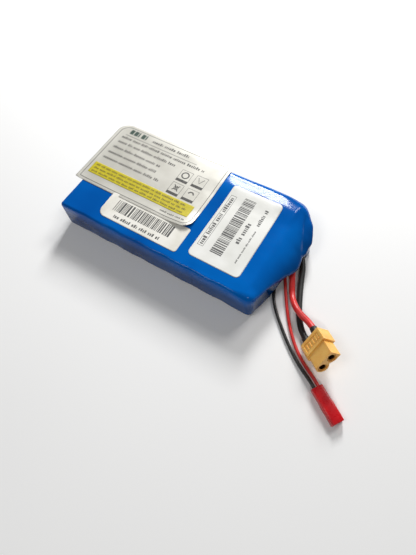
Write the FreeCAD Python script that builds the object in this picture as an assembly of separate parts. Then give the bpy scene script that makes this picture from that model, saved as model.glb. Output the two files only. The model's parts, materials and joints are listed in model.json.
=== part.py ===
import FreeCAD, Part

import math
import os

from FreeCAD import Placement, Rotation, Vector

# Lithium-ion pack of seven round cells side by side in one heat-shrink sleeve, with
# two power leads to a two-pole connector and two charge leads to a small plug.
# Millimetres. X runs along the row of cells towards the leads, Y along each cell,
# Z up. The origin is the centre of the sleeve's bottom face.

# Cells
CELL_COUNT = 7
CAN_DIAMETER = 18.2
CAN_WALL = 0.25
CAN_BASE = 0.3
CELL_LENGTH = 65.2
BUTTON_HEIGHT = 0.4
BUTTON_RADIUS = 2.8
BEAD_DEPTH = 0.8
BEAD_WIDTH = 1.6
BEAD_FROM_TOP = 3.1
CRIMP_REACH = 1.2
GASKET_WIDTH = 1.45
CAP_THICKNESS = 0.9
ROLL_CLEARANCE = 0.1
ROLL_CORE_RADIUS = 1.6
WRAP_WALL = 0.12
CELL_GAP = 0.06

# Sleeve, boards and pads
SLEEVE_WALL = 0.25
FIT_GAP = 0.05
BOARD_THICKNESS = 0.35
BOARD_MARGIN = 1.1
END_BOARD_THICKNESS = 0.2
FOAM_THICKNESS = 1.35
CARD_THICKNESS = 0.3
LEFT_EDGE_RADIUS = 2.2
RIGHT_TOP_RADIUS = 6.0
RIGHT_BOTTOM_RADIUS = 3.0
SIDE_EDGE_RADIUS = 1.9

# Welded links and the strips that carry the end poles
LINK_THICKNESS = 0.15
LINK_WIDTH = 8.0
LINK_OVERHANG = 4.0
STRIP_WIDTH = 5.0
STRIP_STEP = 0.6
STRIP_PAD_MARGIN = 1.0
SENSE_DIAMETER = 0.9
SENSE_PITCH = 1.1
SENSE_CORNER = 0.75
SENSE_STAGGER = 0.45
SENSE_TAB_WIDTH = 3.0
SENSE_BEND = 1.2
SENSE_LANDING = 1.0
SENSE_TURN_FAR = 3.2
SENSE_TURN_NEAR = 1.4

# Hood of the sleeve over the protection board
HOOD_REACH = 10.7
HOOD_PITCH = 36.0
HOOD_FRONT_Y = -17.0
HOOD_BACK_Y = 30.0
HOOD_CORNER_RADIUS = 4.0
MOUTH_FRONT_REACH = 1.2
MOUTH_SIDE_Y = 2.5
MOUTH_OPENING = 3.0
NOTCH_BACK_Y = 13.5
NOTCH_HEIGHT = 6.2
NOTCH_DEPTH = 2.6

# Protection board
PCB_FRONT_Y = -9.0
PCB_BACK_Y = 26.0
PCB_THICKNESS = 1.0
PCB_BOTTOM_Z = 1.2
PCB_HEADROOM = 1.1
MOSFET_COUNT = 4
MOSFET_SIZE = (1.1, 4.9, 6.0)
MOSFET_PITCH = 7.0
MOSFET_FIRST_Y = 2.5
MOSFET_DROP = 3.6
CHIP_SIZE = (1.2, 6.0, 4.4)
CHIP_Y = -3.4
CHIP_DROP = 3.6
RESISTOR_COUNT = 4
RESISTOR_SIZE = (0.6, 1.6, 3.2)
RESISTOR_PITCH = 2.4
RESISTOR_FIRST_Y = 14.6
RESISTOR_RISE = 3.8
SOLDER_LENGTH = 2.0

# Labels, each a thin sheet: distance from the closed end, length along X, distance
# from the front face, width along Y
LABEL_THICKNESS = 0.15
PRODUCT_LABEL = (-4.5, 82.7, 21.1, 52.2)
SERIAL_LABEL = (85.4, 32.4, 8.4, 53.6)
BARCODE_LABEL = (24.9, 54.7, 5.5, 15.4)
PRODUCT_LABEL_RADIUS = 6.0
SERIAL_LABEL_RADIUS = 3.0
BARCODE_LABEL_RADIUS = 3.0

# Two-pole power connector, its pose and the parts in it
COLLAR_WIDTH = 16.1
COLLAR_THICKNESS = 8.1
COLLAR_LENGTH = 7.8
NOSE_WIDTH = 13.8
NOSE_THICKNESS = 6.6
NOSE_LENGTH = 8.2
COLLAR_CHAMFER = 2.4
NOSE_CHAMFER = 1.9
NOTCH_WIDTH = 2.0
NOTCH_CUT = 1.0
POLE_SPACING = 7.2
SOCKET_DIAMETER = 4.5
SOCKET_BORE = 3.5
SOCKET_FLOOR = 2.0
SOCKET_RECESS = 0.5
SOCKET_FIT = 0.05
CUP_DIAMETER = 3.4
CUP_BORE = 2.4
CUP_LENGTH = 3.0
CUP_FLOOR = 0.6
BOOT_LENGTH = 4.8
BOOT_WALL = 0.3
CONNECTOR_PLACE = (100.2, -32.2)
CONNECTOR_AZIMUTH = -41.5
CONNECTOR_PITCH = 22.0
CONNECTOR_ROLL = 50.0
POWER_ENTRY = 5.3
GROUND_ENTRY = 3.2

# Small two-pole charge plug, lying flat
PLUG_REAR = (112.2, -52.4)
PLUG_AZIMUTH = -33.2
PLUG_LENGTH = 19.4
PLUG_WIDTH = 6.6
PLUG_HEIGHT = 4.5
PLUG_TAIL_LENGTH = 8.0
PLUG_TAIL_INSET = 0.25
PLUG_POLE_SPACING = 2.5
CAVITY_WIDTH = 1.9
CAVITY_HEIGHT = 2.2
CAVITY_DEPTH = 9.0
CONTACT_SIZE = (6.0, 1.3, 1.6)
PLUG_ENTRY = 4.5

# Leads
POWER_LEAD_DIAMETER = 3.5
CHARGE_LEAD_DIAMETER = 1.8
BEND_SHARE = 0.45

# How far a cutting shape runs past what it cuts, and the tolerance for picking edges
CUT_MARGIN = 5.0
PICK_TOLERANCE = 0.001

# Where each lead runs, from its solder joint towards its connector
POWER_RED_POINTS = [
    (69.0, 11.0, 6.4), (69.0, 6.4, 6.4), (72.6, 0.2, 5.4), (76.0, -6.4, 3.2),
    (79.6, -13.6, 1.9), (84.2, -20.0, 6.0), (88.8, -22.8, 6.6),
]
POWER_BLACK_POINTS = [
    (69.4, 23.4, 3.8), (69.4, 18.4, 3.8), (73.0, 12.2, 3.4), (77.0, 5.6, 2.6),
    (80.3, -4.0, 1.85), (83.8, -13.0, 1.8), (87.6, -21.2, 1.8), (91.2, -27.0, 1.8),
]
CHARGE_RED_POINTS = [
    (67.2, 5.0, 3.4), (67.2, 1.4, 3.4), (70.0, -3.2, 2.2), (73.4, -9.2, 1.0),
    (78.0, -17.2, 0.95), (83.2, -25.4, 0.95), (88.8, -32.8, 0.95), (94.6, -39.0, 0.95),
    (99.7, -43.0, 0.95), (104.6, -46.2, 1.3),
]
CHARGE_BLACK_POINTS = [
    (67.2, -4.6, 2.4), (67.2, -8.4, 2.4), (68.6, -13.6, 1.5), (71.2, -19.4, 0.95),
    (75.4, -25.0, 0.95), (81.0, -30.6, 0.95), (88.0, -37.2, 0.95), (95.0, -42.9, 0.95),
    (101.2, -47.2, 1.2),
]

# Sizes that follow from the values above
WRAP_RADIUS = CAN_DIAMETER / 2 + WRAP_WALL
PITCH = 2 * WRAP_RADIUS + CELL_GAP
CAN_LENGTH = CELL_LENGTH - BUTTON_HEIGHT
CELL_Z = SLEEVE_WALL + BOARD_THICKNESS + 2 * FIT_GAP + WRAP_RADIUS
HEIGHT = 2 * CELL_Z
CELLS_HALF_X = (CELL_COUNT - 1) / 2 * PITCH + WRAP_RADIUS
CAVITY_HALF_X = CELLS_HALF_X + END_BOARD_THICKNESS + 2 * FIT_GAP
HALF_X = CAVITY_HALF_X + SLEEVE_WALL
CELLS_HALF_Y = CELL_LENGTH / 2
LINK_FACE_Y = CELLS_HALF_Y + LINK_THICKNESS
FOAM_INNER_Y = LINK_FACE_Y + SENSE_DIAMETER + 2 * FIT_GAP
FOAM_OUTER_Y = FOAM_INNER_Y + FOAM_THICKNESS
HALF_Y = FOAM_OUTER_Y + FIT_GAP + SLEEVE_WALL
PCB_BACK_X = CELLS_HALF_X + END_BOARD_THICKNESS + FIT_GAP
PCB_FACE_X = PCB_BACK_X + PCB_THICKNESS
CONNECTOR_LENGTH = COLLAR_LENGTH + NOSE_LENGTH
ROOF_SLOPE = math.tan(math.radians(HOOD_PITCH))
ROOF_TOP_X = HALF_X - RIGHT_TOP_RADIUS * (1 - math.sin(math.radians(HOOD_PITCH)))
ROOF_TOP_Z = HEIGHT - RIGHT_TOP_RADIUS * (1 - math.cos(math.radians(HOOD_PITCH)))
ROOF_DROP = SLEEVE_WALL / math.cos(math.radians(HOOD_PITCH))
PCB_TOP_Z = ROOF_TOP_Z - (PCB_FACE_X - ROOF_TOP_X) * ROOF_SLOPE - ROOF_DROP - PCB_HEADROOM


def box(x0, x1, y0, y1, z0, z1):
    """A block between two opposite corners."""
    return Part.makeBox(x1 - x0, y1 - y0, z1 - z0, Vector(x0, y0, z0))


def polygon_face(points):
    """A flat face inside a closed outline of points."""
    corners = [Vector(*p) for p in points]
    return Part.Face(Part.makePolygon(corners + corners[:1]))


def cylinder(radius, start, direction, length):
    """A round bar from a point, along a direction."""
    return Part.makeCylinder(radius, length, Vector(*start), Vector(*direction))


def ring(outer, inner, start, direction, length):
    """A round tube from a point, along a direction."""
    bar = cylinder(outer, start, direction, length)
    return bar.cut(cylinder(inner, start, direction, length))


def joined(shapes):
    """One solid from solids that overlap or touch."""
    first = shapes[0]
    return first.fuse(shapes[1:]).removeSplitter() if len(shapes) > 1 else first


def group(shapes):
    """Separate solids kept in one node."""
    return Part.makeCompound(shapes)


# Cells

def cell_x(index):
    """Centre of a cell along the row, counted from 0 at the closed end."""
    return (index - (CELL_COUNT - 1) / 2) * PITCH


def cell_sign(index):
    """+1 where a cell's positive end points to +Y, -1 where it points to -Y."""
    return 1 if index % 2 == 0 else -1


def placed_cell(shape, index):
    """A piece made along +Z from its cell's flat end, laid in its place in the row."""
    sign = cell_sign(index)
    turned = shape.copy()
    turned.rotate(Vector(0, 0, 0), Vector(1, 0, 0), -90 * sign)
    turned.translate(Vector(cell_x(index), -sign * CELLS_HALF_Y, CELL_Z))
    return turned


def can_profile():
    """Half section of the can, radius against height, with its bead and crimp."""
    outer = CAN_DIAMETER / 2
    inner = outer - CAN_WALL
    bead = CAN_LENGTH - BEAD_FROM_TOP
    low = bead - BEAD_WIDTH / 2
    high = bead + BEAD_WIDTH / 2
    lip = outer - CRIMP_REACH
    under_lip = CAN_LENGTH - CAN_WALL
    return [
        (0, 0), (outer, 0), (outer, low), (outer - BEAD_DEPTH, bead), (outer, high),
        (outer, CAN_LENGTH), (lip, CAN_LENGTH), (lip, under_lip), (inner, under_lip),
        (inner, high), (inner - BEAD_DEPTH, bead), (inner, low), (inner, CAN_BASE),
        (0, CAN_BASE),
    ]


def make_can():
    """Drawn steel can, open at the crimped end."""
    face = polygon_face([(radius, 0, height) for radius, height in can_profile()])
    return face.revolve(Vector(0, 0, 0), Vector(0, 0, 1), 360)


def gasket_bottom():
    """Height of the gasket's lower face, just above the bead."""
    return CAN_LENGTH - BEAD_FROM_TOP + BEAD_WIDTH / 2 + FIT_GAP


def make_gasket():
    """Plastic ring between the can and the cap."""
    outer = CAN_DIAMETER / 2 - CAN_WALL
    height = CAN_LENGTH - CAN_WALL - gasket_bottom()
    return ring(outer, outer - GASKET_WIDTH, (0, 0, gasket_bottom()), (0, 0, 1), height)


def make_cap():
    """Positive cap: a disc inside the gasket with a raised button."""
    disc_radius = CAN_DIAMETER / 2 - CAN_WALL - GASKET_WIDTH
    disc = cylinder(disc_radius, (0, 0, gasket_bottom()), (0, 0, 1), CAP_THICKNESS)
    height = CELL_LENGTH - gasket_bottom()
    button = cylinder(BUTTON_RADIUS, (0, 0, gasket_bottom()), (0, 0, 1), height)
    return joined([disc, button])


def make_roll():
    """Wound electrodes, with the hole that the winding mandrel leaves."""
    outer = CAN_DIAMETER / 2 - CAN_WALL - ROLL_CLEARANCE
    bead_low = CAN_LENGTH - BEAD_FROM_TOP - BEAD_WIDTH / 2
    bottom = CAN_BASE + ROLL_CLEARANCE
    height = bead_low - ROLL_CLEARANCE - bottom
    return ring(outer, ROLL_CORE_RADIUS, (0, 0, bottom), (0, 0, 1), height)


def make_wrap():
    """Thin sleeve around one can, short of its flat end."""
    start = (0, 0, CAN_BASE)
    return ring(WRAP_RADIUS, CAN_DIAMETER / 2, start, (0, 0, 1), CAN_LENGTH - CAN_BASE)


# Links, strips and sense wires

def side_slab(sign, x0, x1, z0, z1, inner, thickness):
    """A slab standing on the front (-1) or back (+1) side, at a distance from the middle."""
    near = sign * inner
    far = sign * (inner + thickness)
    return box(x0, x1, min(near, far), max(near, far), z0, z1)


def sense_floor():
    """Height of the lowest sense wire, where it clears the last cell at the corner."""
    reach = CAVITY_HALF_X - SENSE_CORNER - SENSE_DIAMETER / 2 - 2 * FIT_GAP
    beside = reach - cell_x(CELL_COUNT - 1)
    rise = math.sqrt(WRAP_RADIUS ** 2 - beside ** 2)
    return CELL_Z + rise + SENSE_DIAMETER / 2


def sense_height(index):
    """Height of the sense wire of a link; three wires run one above another."""
    return sense_floor() + (index // 2) * SENSE_PITCH


def make_link(index):
    """Welded strip from a cell's positive end to its neighbour's negative end."""
    sign = cell_sign(index)
    x0 = cell_x(index) - LINK_OVERHANG
    x1 = cell_x(index + 1) + LINK_OVERHANG
    middle = (x0 + x1) / 2
    strip = side_slab(sign, x0, x1, CELL_Z - LINK_WIDTH / 2, CELL_Z + LINK_WIDTH / 2,
                      CELLS_HALF_Y, LINK_THICKNESS)
    tab = side_slab(sign, middle - SENSE_TAB_WIDTH / 2, middle + SENSE_TAB_WIDTH / 2,
                    CELL_Z, sense_height(index) + SENSE_DIAMETER / 2,
                    CELLS_HALF_Y, LINK_THICKNESS)
    return joined([strip, tab])


def end_strip(sign, y_end):
    """Strip round the right end, against the back of the protection board."""
    z0 = CELL_Z - LINK_WIDTH / 2
    outer_y = sign * (LINK_FACE_Y + (STRIP_STEP if sign < 0 else 0))
    x0 = PCB_BACK_X - LINK_THICKNESS
    y0 = min(outer_y, y_end)
    y1 = max(outer_y, y_end)
    return box(x0, PCB_BACK_X, y0, y1, z0, z0 + STRIP_WIDTH)


def make_positive_tab():
    """Strip from the last cell's positive end to the protection board."""
    z0 = CELL_Z - LINK_WIDTH / 2
    pad = side_slab(1, cell_x(CELL_COUNT - 1) - LINK_OVERHANG, PCB_BACK_X, z0,
                    z0 + STRIP_WIDTH, CELLS_HALF_Y, LINK_THICKNESS)
    return joined([pad, end_strip(1, PCB_BACK_Y - LINK_OVERHANG)])


def make_negative_tab():
    """Strip from the first cell's negative end, over the card, to the board."""
    z0 = CELL_Z - LINK_WIDTH / 2
    z1 = z0 + STRIP_WIDTH
    first = cell_x(0)
    step_x = first + LINK_OVERHANG + STRIP_PAD_MARGIN
    pad = side_slab(-1, first - LINK_OVERHANG, step_x, z0, z1, CELLS_HALF_Y, LINK_THICKNESS)
    riser = side_slab(-1, step_x - LINK_THICKNESS, step_x, z0, z1, CELLS_HALF_Y,
                      LINK_THICKNESS + STRIP_STEP)
    run = side_slab(-1, step_x - LINK_THICKNESS, PCB_BACK_X, z0, z1,
                    LINK_FACE_Y + STRIP_STEP - LINK_THICKNESS, LINK_THICKNESS)
    return joined([pad, riser, run, end_strip(-1, PCB_FRONT_Y + LINK_OVERHANG)])


def sense_route(index):
    """Points of a sense wire, from its link to the edge of the protection board."""
    sign = cell_sign(index)
    rank = index // 2
    start_x = (cell_x(index) + cell_x(index + 1)) / 2
    side_y = sign * (LINK_FACE_Y + SENSE_DIAMETER / 2)
    height = sense_height(index)
    corner_x = CAVITY_HALF_X - SENSE_CORNER - SENSE_STAGGER * rank
    edge_y = PCB_BACK_Y if sign > 0 else PCB_FRONT_Y
    board_x = (PCB_BACK_X + PCB_FACE_X) / 2
    board_z = PCB_TOP_Z - SENSE_LANDING - SENSE_PITCH * rank
    return [
        (start_x, side_y, height),
        (corner_x, side_y, height),
        (corner_x, edge_y + sign * SENSE_TURN_FAR, height),
        (board_x, edge_y + sign * SENSE_TURN_NEAR, board_z),
        (board_x, edge_y, board_z),
    ]


# Tubes along routes of straight runs joined by tangent arcs

def corner_arc(before, corner, after, most_trim, radii):
    """Tangent arc that rounds one corner of a route, and the two points it joins."""
    run_in = corner - before
    run_out = after - corner
    trim = min(most_trim, BEND_SHARE * min(run_in.Length, run_out.Length))
    half_turn = run_in.getAngle(run_out) / 2
    radius = trim / math.tan(half_turn)
    radii.append(radius)
    unit_in = Vector(run_in).normalize()
    unit_out = Vector(run_out).normalize()
    inward = (unit_out - unit_in).normalize()
    start = corner - unit_in * trim
    end = corner + unit_out * trim
    middle = corner + inward * (radius / math.cos(half_turn) - radius)
    return start, Part.Arc(start, middle, end).toShape(), end


def tube(points, diameter, most_trim=math.inf):
    """Round tube along a route; also gives the arc radii and the path's length."""
    route = [Vector(*p) for p in points]
    edges = []
    radii = []
    here = route[0]
    for before, corner, after in zip(route, route[1:], route[2:]):
        start, arc, end = corner_arc(before, corner, after, most_trim, radii)
        edges.append(Part.LineSegment(here, start).toShape())
        edges.append(arc)
        here = end
    edges.append(Part.LineSegment(here, route[-1]).toShape())
    path = Part.Wire(edges)
    section = Part.Wire(Part.makeCircle(diameter / 2, route[0], route[1] - route[0]))
    return path.makePipeShell([section], True, False), radii, path.Length


def make_cord(name, points, diameter):
    """A lead's tube, with its bends and its volume printed as a check."""
    solid, radii, length = tube(points, diameter)
    expected = math.pi * diameter ** 2 / 4 * length
    bends = ", ".join(f"{radius:.1f}" for radius in radii)
    print(f"{name}: length {length:.1f} mm, volume share {solid.Volume / expected:.4f}, "
          f"arc radii {bends}")
    return solid


# Sleeve

def end_profile(inset):
    """Section of the pack's body along X and Z, with its four rounded corners."""
    x0 = -HALF_X + inset
    x1 = HALF_X - inset
    z0 = inset
    z1 = HEIGHT - inset
    left = LEFT_EDGE_RADIUS - inset
    top = RIGHT_TOP_RADIUS - inset
    bottom = RIGHT_BOTTOM_RADIUS - inset
    diagonal = math.sqrt(0.5)
    straight = [
        ((x0 + left, z1), (x1 - top, z1)),
        ((x1, z1 - top), (x1, z0 + bottom)),
        ((x1 - bottom, z0), (x0 + left, z0)),
        ((x0, z0 + left), (x0, z1 - left)),
    ]
    bulges = [
        (x1 - top + top * diagonal, z1 - top + top * diagonal),
        (x1 - bottom + bottom * diagonal, z0 + bottom - bottom * diagonal),
        (x0 + left - left * diagonal, z0 + left - left * diagonal),
        (x0 + left - left * diagonal, z1 - left + left * diagonal),
    ]
    edges = []
    for index, (start, end) in enumerate(straight):
        next_start = straight[(index + 1) % 4][0]
        line = Part.LineSegment(Vector(start[0], 0, start[1]), Vector(end[0], 0, end[1]))
        arc = Part.Arc(Vector(end[0], 0, end[1]),
                       Vector(bulges[index][0], 0, bulges[index][1]),
                       Vector(next_start[0], 0, next_start[1]))
        edges.append(line.toShape())
        edges.append(arc.toShape())
    return Part.Face(Part.Wire(edges))


def body_block(inset):
    """The pack's body: its section along the width, with rounded front and back edges."""
    depth = 2 * (HALF_Y - inset)
    face = end_profile(inset)
    face.translate(Vector(0, -depth / 2, 0))
    block = face.extrude(Vector(0, depth, 0))
    rims = [edge for edge in block.Edges
            if abs(abs(edge.CenterOfMass.y) - depth / 2) < PICK_TOLERANCE]
    return block.makeFillet(SIDE_EDGE_RADIUS - inset, rims)


def hood_block(inset, mouth_extra):
    """The hood's wedge, cut slanting at its mouth; mouth_extra moves that cut outwards."""
    start_x = HALF_X - RIGHT_TOP_RADIUS
    tip_x = HALF_X + HOOD_REACH - inset
    top_z = ROOF_TOP_Z - inset / math.cos(math.radians(HOOD_PITCH))
    tip_z = top_z - (tip_x - ROOF_TOP_X) * ROOF_SLOPE
    front_y = HOOD_FRONT_Y + inset
    back_y = HOOD_BACK_Y - inset
    section = [
        (start_x, front_y, inset), (tip_x, front_y, inset), (tip_x, front_y, tip_z),
        (ROOF_TOP_X, front_y, top_z), (start_x, front_y, top_z),
    ]
    wedge = polygon_face(section).extrude(Vector(0, back_y - front_y, 0))
    corner = [edge for edge in wedge.Edges
              if abs(edge.CenterOfMass.x - tip_x) < PICK_TOLERANCE
              and abs(edge.CenterOfMass.y - back_y) < PICK_TOLERANCE]
    wedge = wedge.makeFillet(HOOD_CORNER_RADIUS - inset, corner)
    far_x = HALF_X + HOOD_REACH + CUT_MARGIN
    slant = (HOOD_REACH - MOUTH_FRONT_REACH) / (MOUTH_SIDE_Y - HOOD_FRONT_Y)
    mouth_y0 = HOOD_FRONT_Y - CUT_MARGIN
    mouth_x0 = HALF_X + MOUTH_FRONT_REACH + mouth_extra - CUT_MARGIN * slant
    mouth_y1 = mouth_y0 + (far_x - mouth_x0) / slant
    cutter = polygon_face([
        (mouth_x0, mouth_y0, -CUT_MARGIN), (far_x, mouth_y0, -CUT_MARGIN),
        (far_x, mouth_y1, -CUT_MARGIN),
    ]).extrude(Vector(0, 0, HEIGHT + 2 * CUT_MARGIN))
    return wedge.cut(cutter)


def make_sleeve():
    """Shrunk film all round the pack, with the hood and its open mouth."""
    outer = body_block(0).fuse(hood_block(0, 0))
    inner = body_block(SLEEVE_WALL).fuse(hood_block(SLEEVE_WALL, MOUTH_OPENING))
    end_x = HALF_X + HOOD_REACH
    notch = box(end_x - NOTCH_DEPTH, end_x + CUT_MARGIN, HOOD_FRONT_Y, NOTCH_BACK_Y,
                -CUT_MARGIN, NOTCH_HEIGHT)
    return outer.cut(inner).cut(notch).removeSplitter()


# Boards, pads and cards

def make_top_board():
    """Stiff sheet between the cells and the film, on top."""
    z1 = HEIGHT - SLEEVE_WALL - FIT_GAP
    reach_y = CELLS_HALF_Y - BOARD_MARGIN
    return box(-HALF_X + LEFT_EDGE_RADIUS, HALF_X - RIGHT_TOP_RADIUS, -reach_y, reach_y,
               z1 - BOARD_THICKNESS, z1)


def make_bottom_board():
    """Stiff sheet between the cells and the film, underneath."""
    z0 = SLEEVE_WALL + FIT_GAP
    reach_y = CELLS_HALF_Y - BOARD_MARGIN
    return box(-HALF_X + LEFT_EDGE_RADIUS, HALF_X - RIGHT_BOTTOM_RADIUS, -reach_y,
               reach_y, z0, z0 + BOARD_THICKNESS)


def make_end_board():
    """Thin sheet that keeps the closed end flat."""
    x0 = -CAVITY_HALF_X + FIT_GAP
    return box(x0, x0 + END_BOARD_THICKNESS, -CELLS_HALF_Y, CELLS_HALF_Y,
               LEFT_EDGE_RADIUS, HEIGHT - LEFT_EDGE_RADIUS)


def make_card(sign):
    """Insulating card over the links of one side, below the sense wires."""
    step = LINK_OVERHANG + STRIP_PAD_MARGIN + FIT_GAP
    x0 = cell_x(0) + (step if sign < 0 else -LINK_OVERHANG)
    x1 = cell_x(CELL_COUNT - 1) + (LINK_OVERHANG if sign < 0 else -step)
    z1 = sense_floor() - SENSE_DIAMETER / 2 - FIT_GAP
    return side_slab(sign, x0, x1, SIDE_EDGE_RADIUS, z1, LINK_FACE_Y + FIT_GAP,
                     CARD_THICKNESS)


def make_foam(sign):
    """Foam pad between one side's wiring and the film."""
    return side_slab(sign, -HALF_X + LEFT_EDGE_RADIUS, HALF_X - RIGHT_TOP_RADIUS,
                     SIDE_EDGE_RADIUS, HEIGHT - SIDE_EDGE_RADIUS, FOAM_INNER_Y,
                     FOAM_THICKNESS)


# Protection board

def make_pcb():
    """Bare protection board, standing at the right end."""
    return box(PCB_BACK_X, PCB_FACE_X, PCB_FRONT_Y, PCB_BACK_Y, PCB_BOTTOM_Z, PCB_TOP_Z)


def on_board(size, y, z):
    """A component of that size on the board's outer face, centred at y and z."""
    depth, width, height = size
    return box(PCB_FACE_X, PCB_FACE_X + depth, y - width / 2, y + width / 2,
               z - height / 2, z + height / 2)


def make_mosfets():
    """Row of switching transistors."""
    z = PCB_TOP_Z - MOSFET_DROP
    return group([on_board(MOSFET_SIZE, MOSFET_FIRST_Y + MOSFET_PITCH * n, z)
                  for n in range(MOSFET_COUNT)])


def make_chip():
    """Protection controller."""
    return on_board(CHIP_SIZE, CHIP_Y, PCB_TOP_Z - CHIP_DROP)


def make_resistors():
    """Row of current-sense resistors."""
    z = PCB_BOTTOM_Z + RESISTOR_RISE
    return group([on_board(RESISTOR_SIZE, RESISTOR_FIRST_Y + RESISTOR_PITCH * n, z)
                  for n in range(RESISTOR_COUNT)])


def solder_block(points, diameter):
    """Solder between the board and the start of a lead."""
    x, y, z = points[0]
    half = diameter / 2
    far_x = max(x, PCB_FACE_X) + half
    return box(PCB_FACE_X, far_x, y, y + SOLDER_LENGTH, z - half, z + half)


# Labels

def make_label(place, radius, round_corners):
    """Thin sheet on the top face; round_corners picks corners by their signs."""
    from_end, length, from_front, width = place
    x0 = from_end - HALF_X
    y0 = from_front - HALF_Y
    sheet = box(x0, x0 + length, y0, y0 + width, HEIGHT, HEIGHT + LABEL_THICKNESS)
    middle = sheet.CenterOfMass
    picked = []
    for edge in sheet.Edges:
        side = edge.CenterOfMass - middle
        signs = (1 if side.x > 0 else -1, 1 if side.y > 0 else -1)
        if abs(side.z) < PICK_TOLERANCE and signs in round_corners:
            picked.append(edge)
    return sheet.makeFillet(radius, picked)


# Power connector

def connector_axes():
    """Unit vectors of the connector: across both poles, across the thickness, outwards."""
    azimuth = math.radians(CONNECTOR_AZIMUTH)
    pitch = math.radians(CONNECTOR_PITCH)
    roll = math.radians(CONNECTOR_ROLL)
    out = Vector(math.cos(azimuth) * math.cos(pitch), math.sin(azimuth) * math.cos(pitch),
                 math.sin(pitch))
    side = Vector(-math.sin(azimuth), math.cos(azimuth), 0)
    wide = side * math.cos(roll) + out.cross(side) * math.sin(roll)
    return wide, out.cross(wide), out


def bevelled_bar(width, thickness, chamfer, z0, length):
    """Bar along Z with the two edges of its negative end bevelled."""
    x = width / 2
    y = thickness / 2
    outline = [(-x + chamfer, -y, z0), (x, -y, z0), (x, y, z0), (-x + chamfer, y, z0),
               (-x, y - chamfer, z0), (-x, -y + chamfer, z0)]
    return polygon_face(outline).extrude(Vector(0, 0, length))


def local_housing():
    """Connector housing along Z from its rear face, with two bores and a key notch."""
    collar = bevelled_bar(COLLAR_WIDTH, COLLAR_THICKNESS, COLLAR_CHAMFER, 0, COLLAR_LENGTH)
    nose = bevelled_bar(NOSE_WIDTH, NOSE_THICKNESS, NOSE_CHAMFER, COLLAR_LENGTH, NOSE_LENGTH)
    housing = joined([collar, nose])
    radius = SOCKET_DIAMETER / 2 + SOCKET_FIT
    for sign in (1, -1):
        start = (sign * POLE_SPACING / 2, 0, -CUT_MARGIN)
        bore = cylinder(radius, start, (0, 0, 1), CONNECTOR_LENGTH + 2 * CUT_MARGIN)
        housing = housing.cut(bore)
    edge_y = -NOSE_THICKNESS / 2
    notch = polygon_face([
        (-NOTCH_WIDTH / 2, edge_y, COLLAR_LENGTH), (NOTCH_WIDTH / 2, edge_y, COLLAR_LENGTH),
        (0, edge_y + NOTCH_CUT, COLLAR_LENGTH),
    ]).extrude(Vector(0, 0, NOSE_LENGTH))
    return housing.cut(notch)


def connector_placement():
    """Pose of the connector, its lowest edge on the floor."""
    wide, thick, out = connector_axes()
    rotation = Rotation(wide, thick, out, "ZXY")
    trial = local_housing()
    trial.Placement = Placement(Vector(0, 0, 0), rotation)
    x, y = CONNECTOR_PLACE
    return Placement(Vector(x, y, -trial.BoundBox.ZMin), rotation)


def posed(shape, placement):
    """A copy of a shape moved to a pose."""
    moved = shape.copy()
    moved.Placement = placement
    return moved


def local_socket(sign):
    """Turned contact: a socket at the nose and a solder cup at the rear."""
    x = sign * POLE_SPACING / 2
    up = (0, 0, 1)
    barrel_length = CONNECTOR_LENGTH - SOCKET_RECESS
    barrel = cylinder(SOCKET_DIAMETER / 2, (x, 0, 0), up, barrel_length)
    cup = cylinder(CUP_DIAMETER / 2, (x, 0, -CUP_LENGTH), up, CUP_LENGTH)
    contact = joined([barrel, cup])
    bore = cylinder(SOCKET_BORE / 2, (x, 0, SOCKET_FLOOR), up, barrel_length)
    well = cylinder(CUP_BORE / 2, (x, 0, -CUP_LENGTH), up, CUP_LENGTH - CUP_FLOOR)
    return contact.cut(bore).cut(well)


def local_boot(sign):
    """Shrunk tube over a solder cup and the end of its lead."""
    x = sign * POLE_SPACING / 2
    inner = max(POWER_LEAD_DIAMETER, CUP_DIAMETER) / 2 + FIT_GAP
    return ring(inner + BOOT_WALL, inner, (x, 0, -BOOT_LENGTH), (0, 0, 1), BOOT_LENGTH)


def power_end(sign, entry, placement):
    """Last two points of a power lead: a straight entry, then the face of its cup."""
    x = sign * POLE_SPACING / 2
    points = [Vector(x, 0, -CUP_LENGTH - entry), Vector(x, 0, -CUP_LENGTH)]
    return [tuple(placement.multVec(point)) for point in points]


# Charge plug

def plug_placement():
    """Pose of the charge plug, lying on its wide face, from the middle of its rear."""
    x, y = PLUG_REAR
    return Placement(Vector(x, y, 0), Rotation(Vector(0, 0, 1), PLUG_AZIMUTH))


def local_plug():
    """Plug housing along X: a slim tail, then a wider head with two cavities."""
    inset = PLUG_TAIL_INSET
    half = PLUG_WIDTH / 2
    tail = box(0, PLUG_TAIL_LENGTH, -half + inset, half - inset, 0, PLUG_HEIGHT - inset)
    head = box(PLUG_TAIL_LENGTH, PLUG_LENGTH, -half, half, 0, PLUG_HEIGHT)
    housing = joined([tail, head])
    for sign in (1, -1):
        y = sign * PLUG_POLE_SPACING / 2
        z = PLUG_HEIGHT / 2
        cavity = box(PLUG_LENGTH - CAVITY_DEPTH, PLUG_LENGTH + CUT_MARGIN,
                     y - CAVITY_WIDTH / 2, y + CAVITY_WIDTH / 2,
                     z - CAVITY_HEIGHT / 2, z + CAVITY_HEIGHT / 2)
        housing = housing.cut(cavity)
    return housing


def local_contacts():
    """The two metal contacts at the bottom of the plug's cavities."""
    length, width, height = CONTACT_SIZE
    x0 = PLUG_LENGTH - CAVITY_DEPTH
    z = PLUG_HEIGHT / 2
    return group([box(x0, x0 + length, y - width / 2, y + width / 2, z - height / 2,
                      z + height / 2)
                  for y in (PLUG_POLE_SPACING / 2, -PLUG_POLE_SPACING / 2)])


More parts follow.
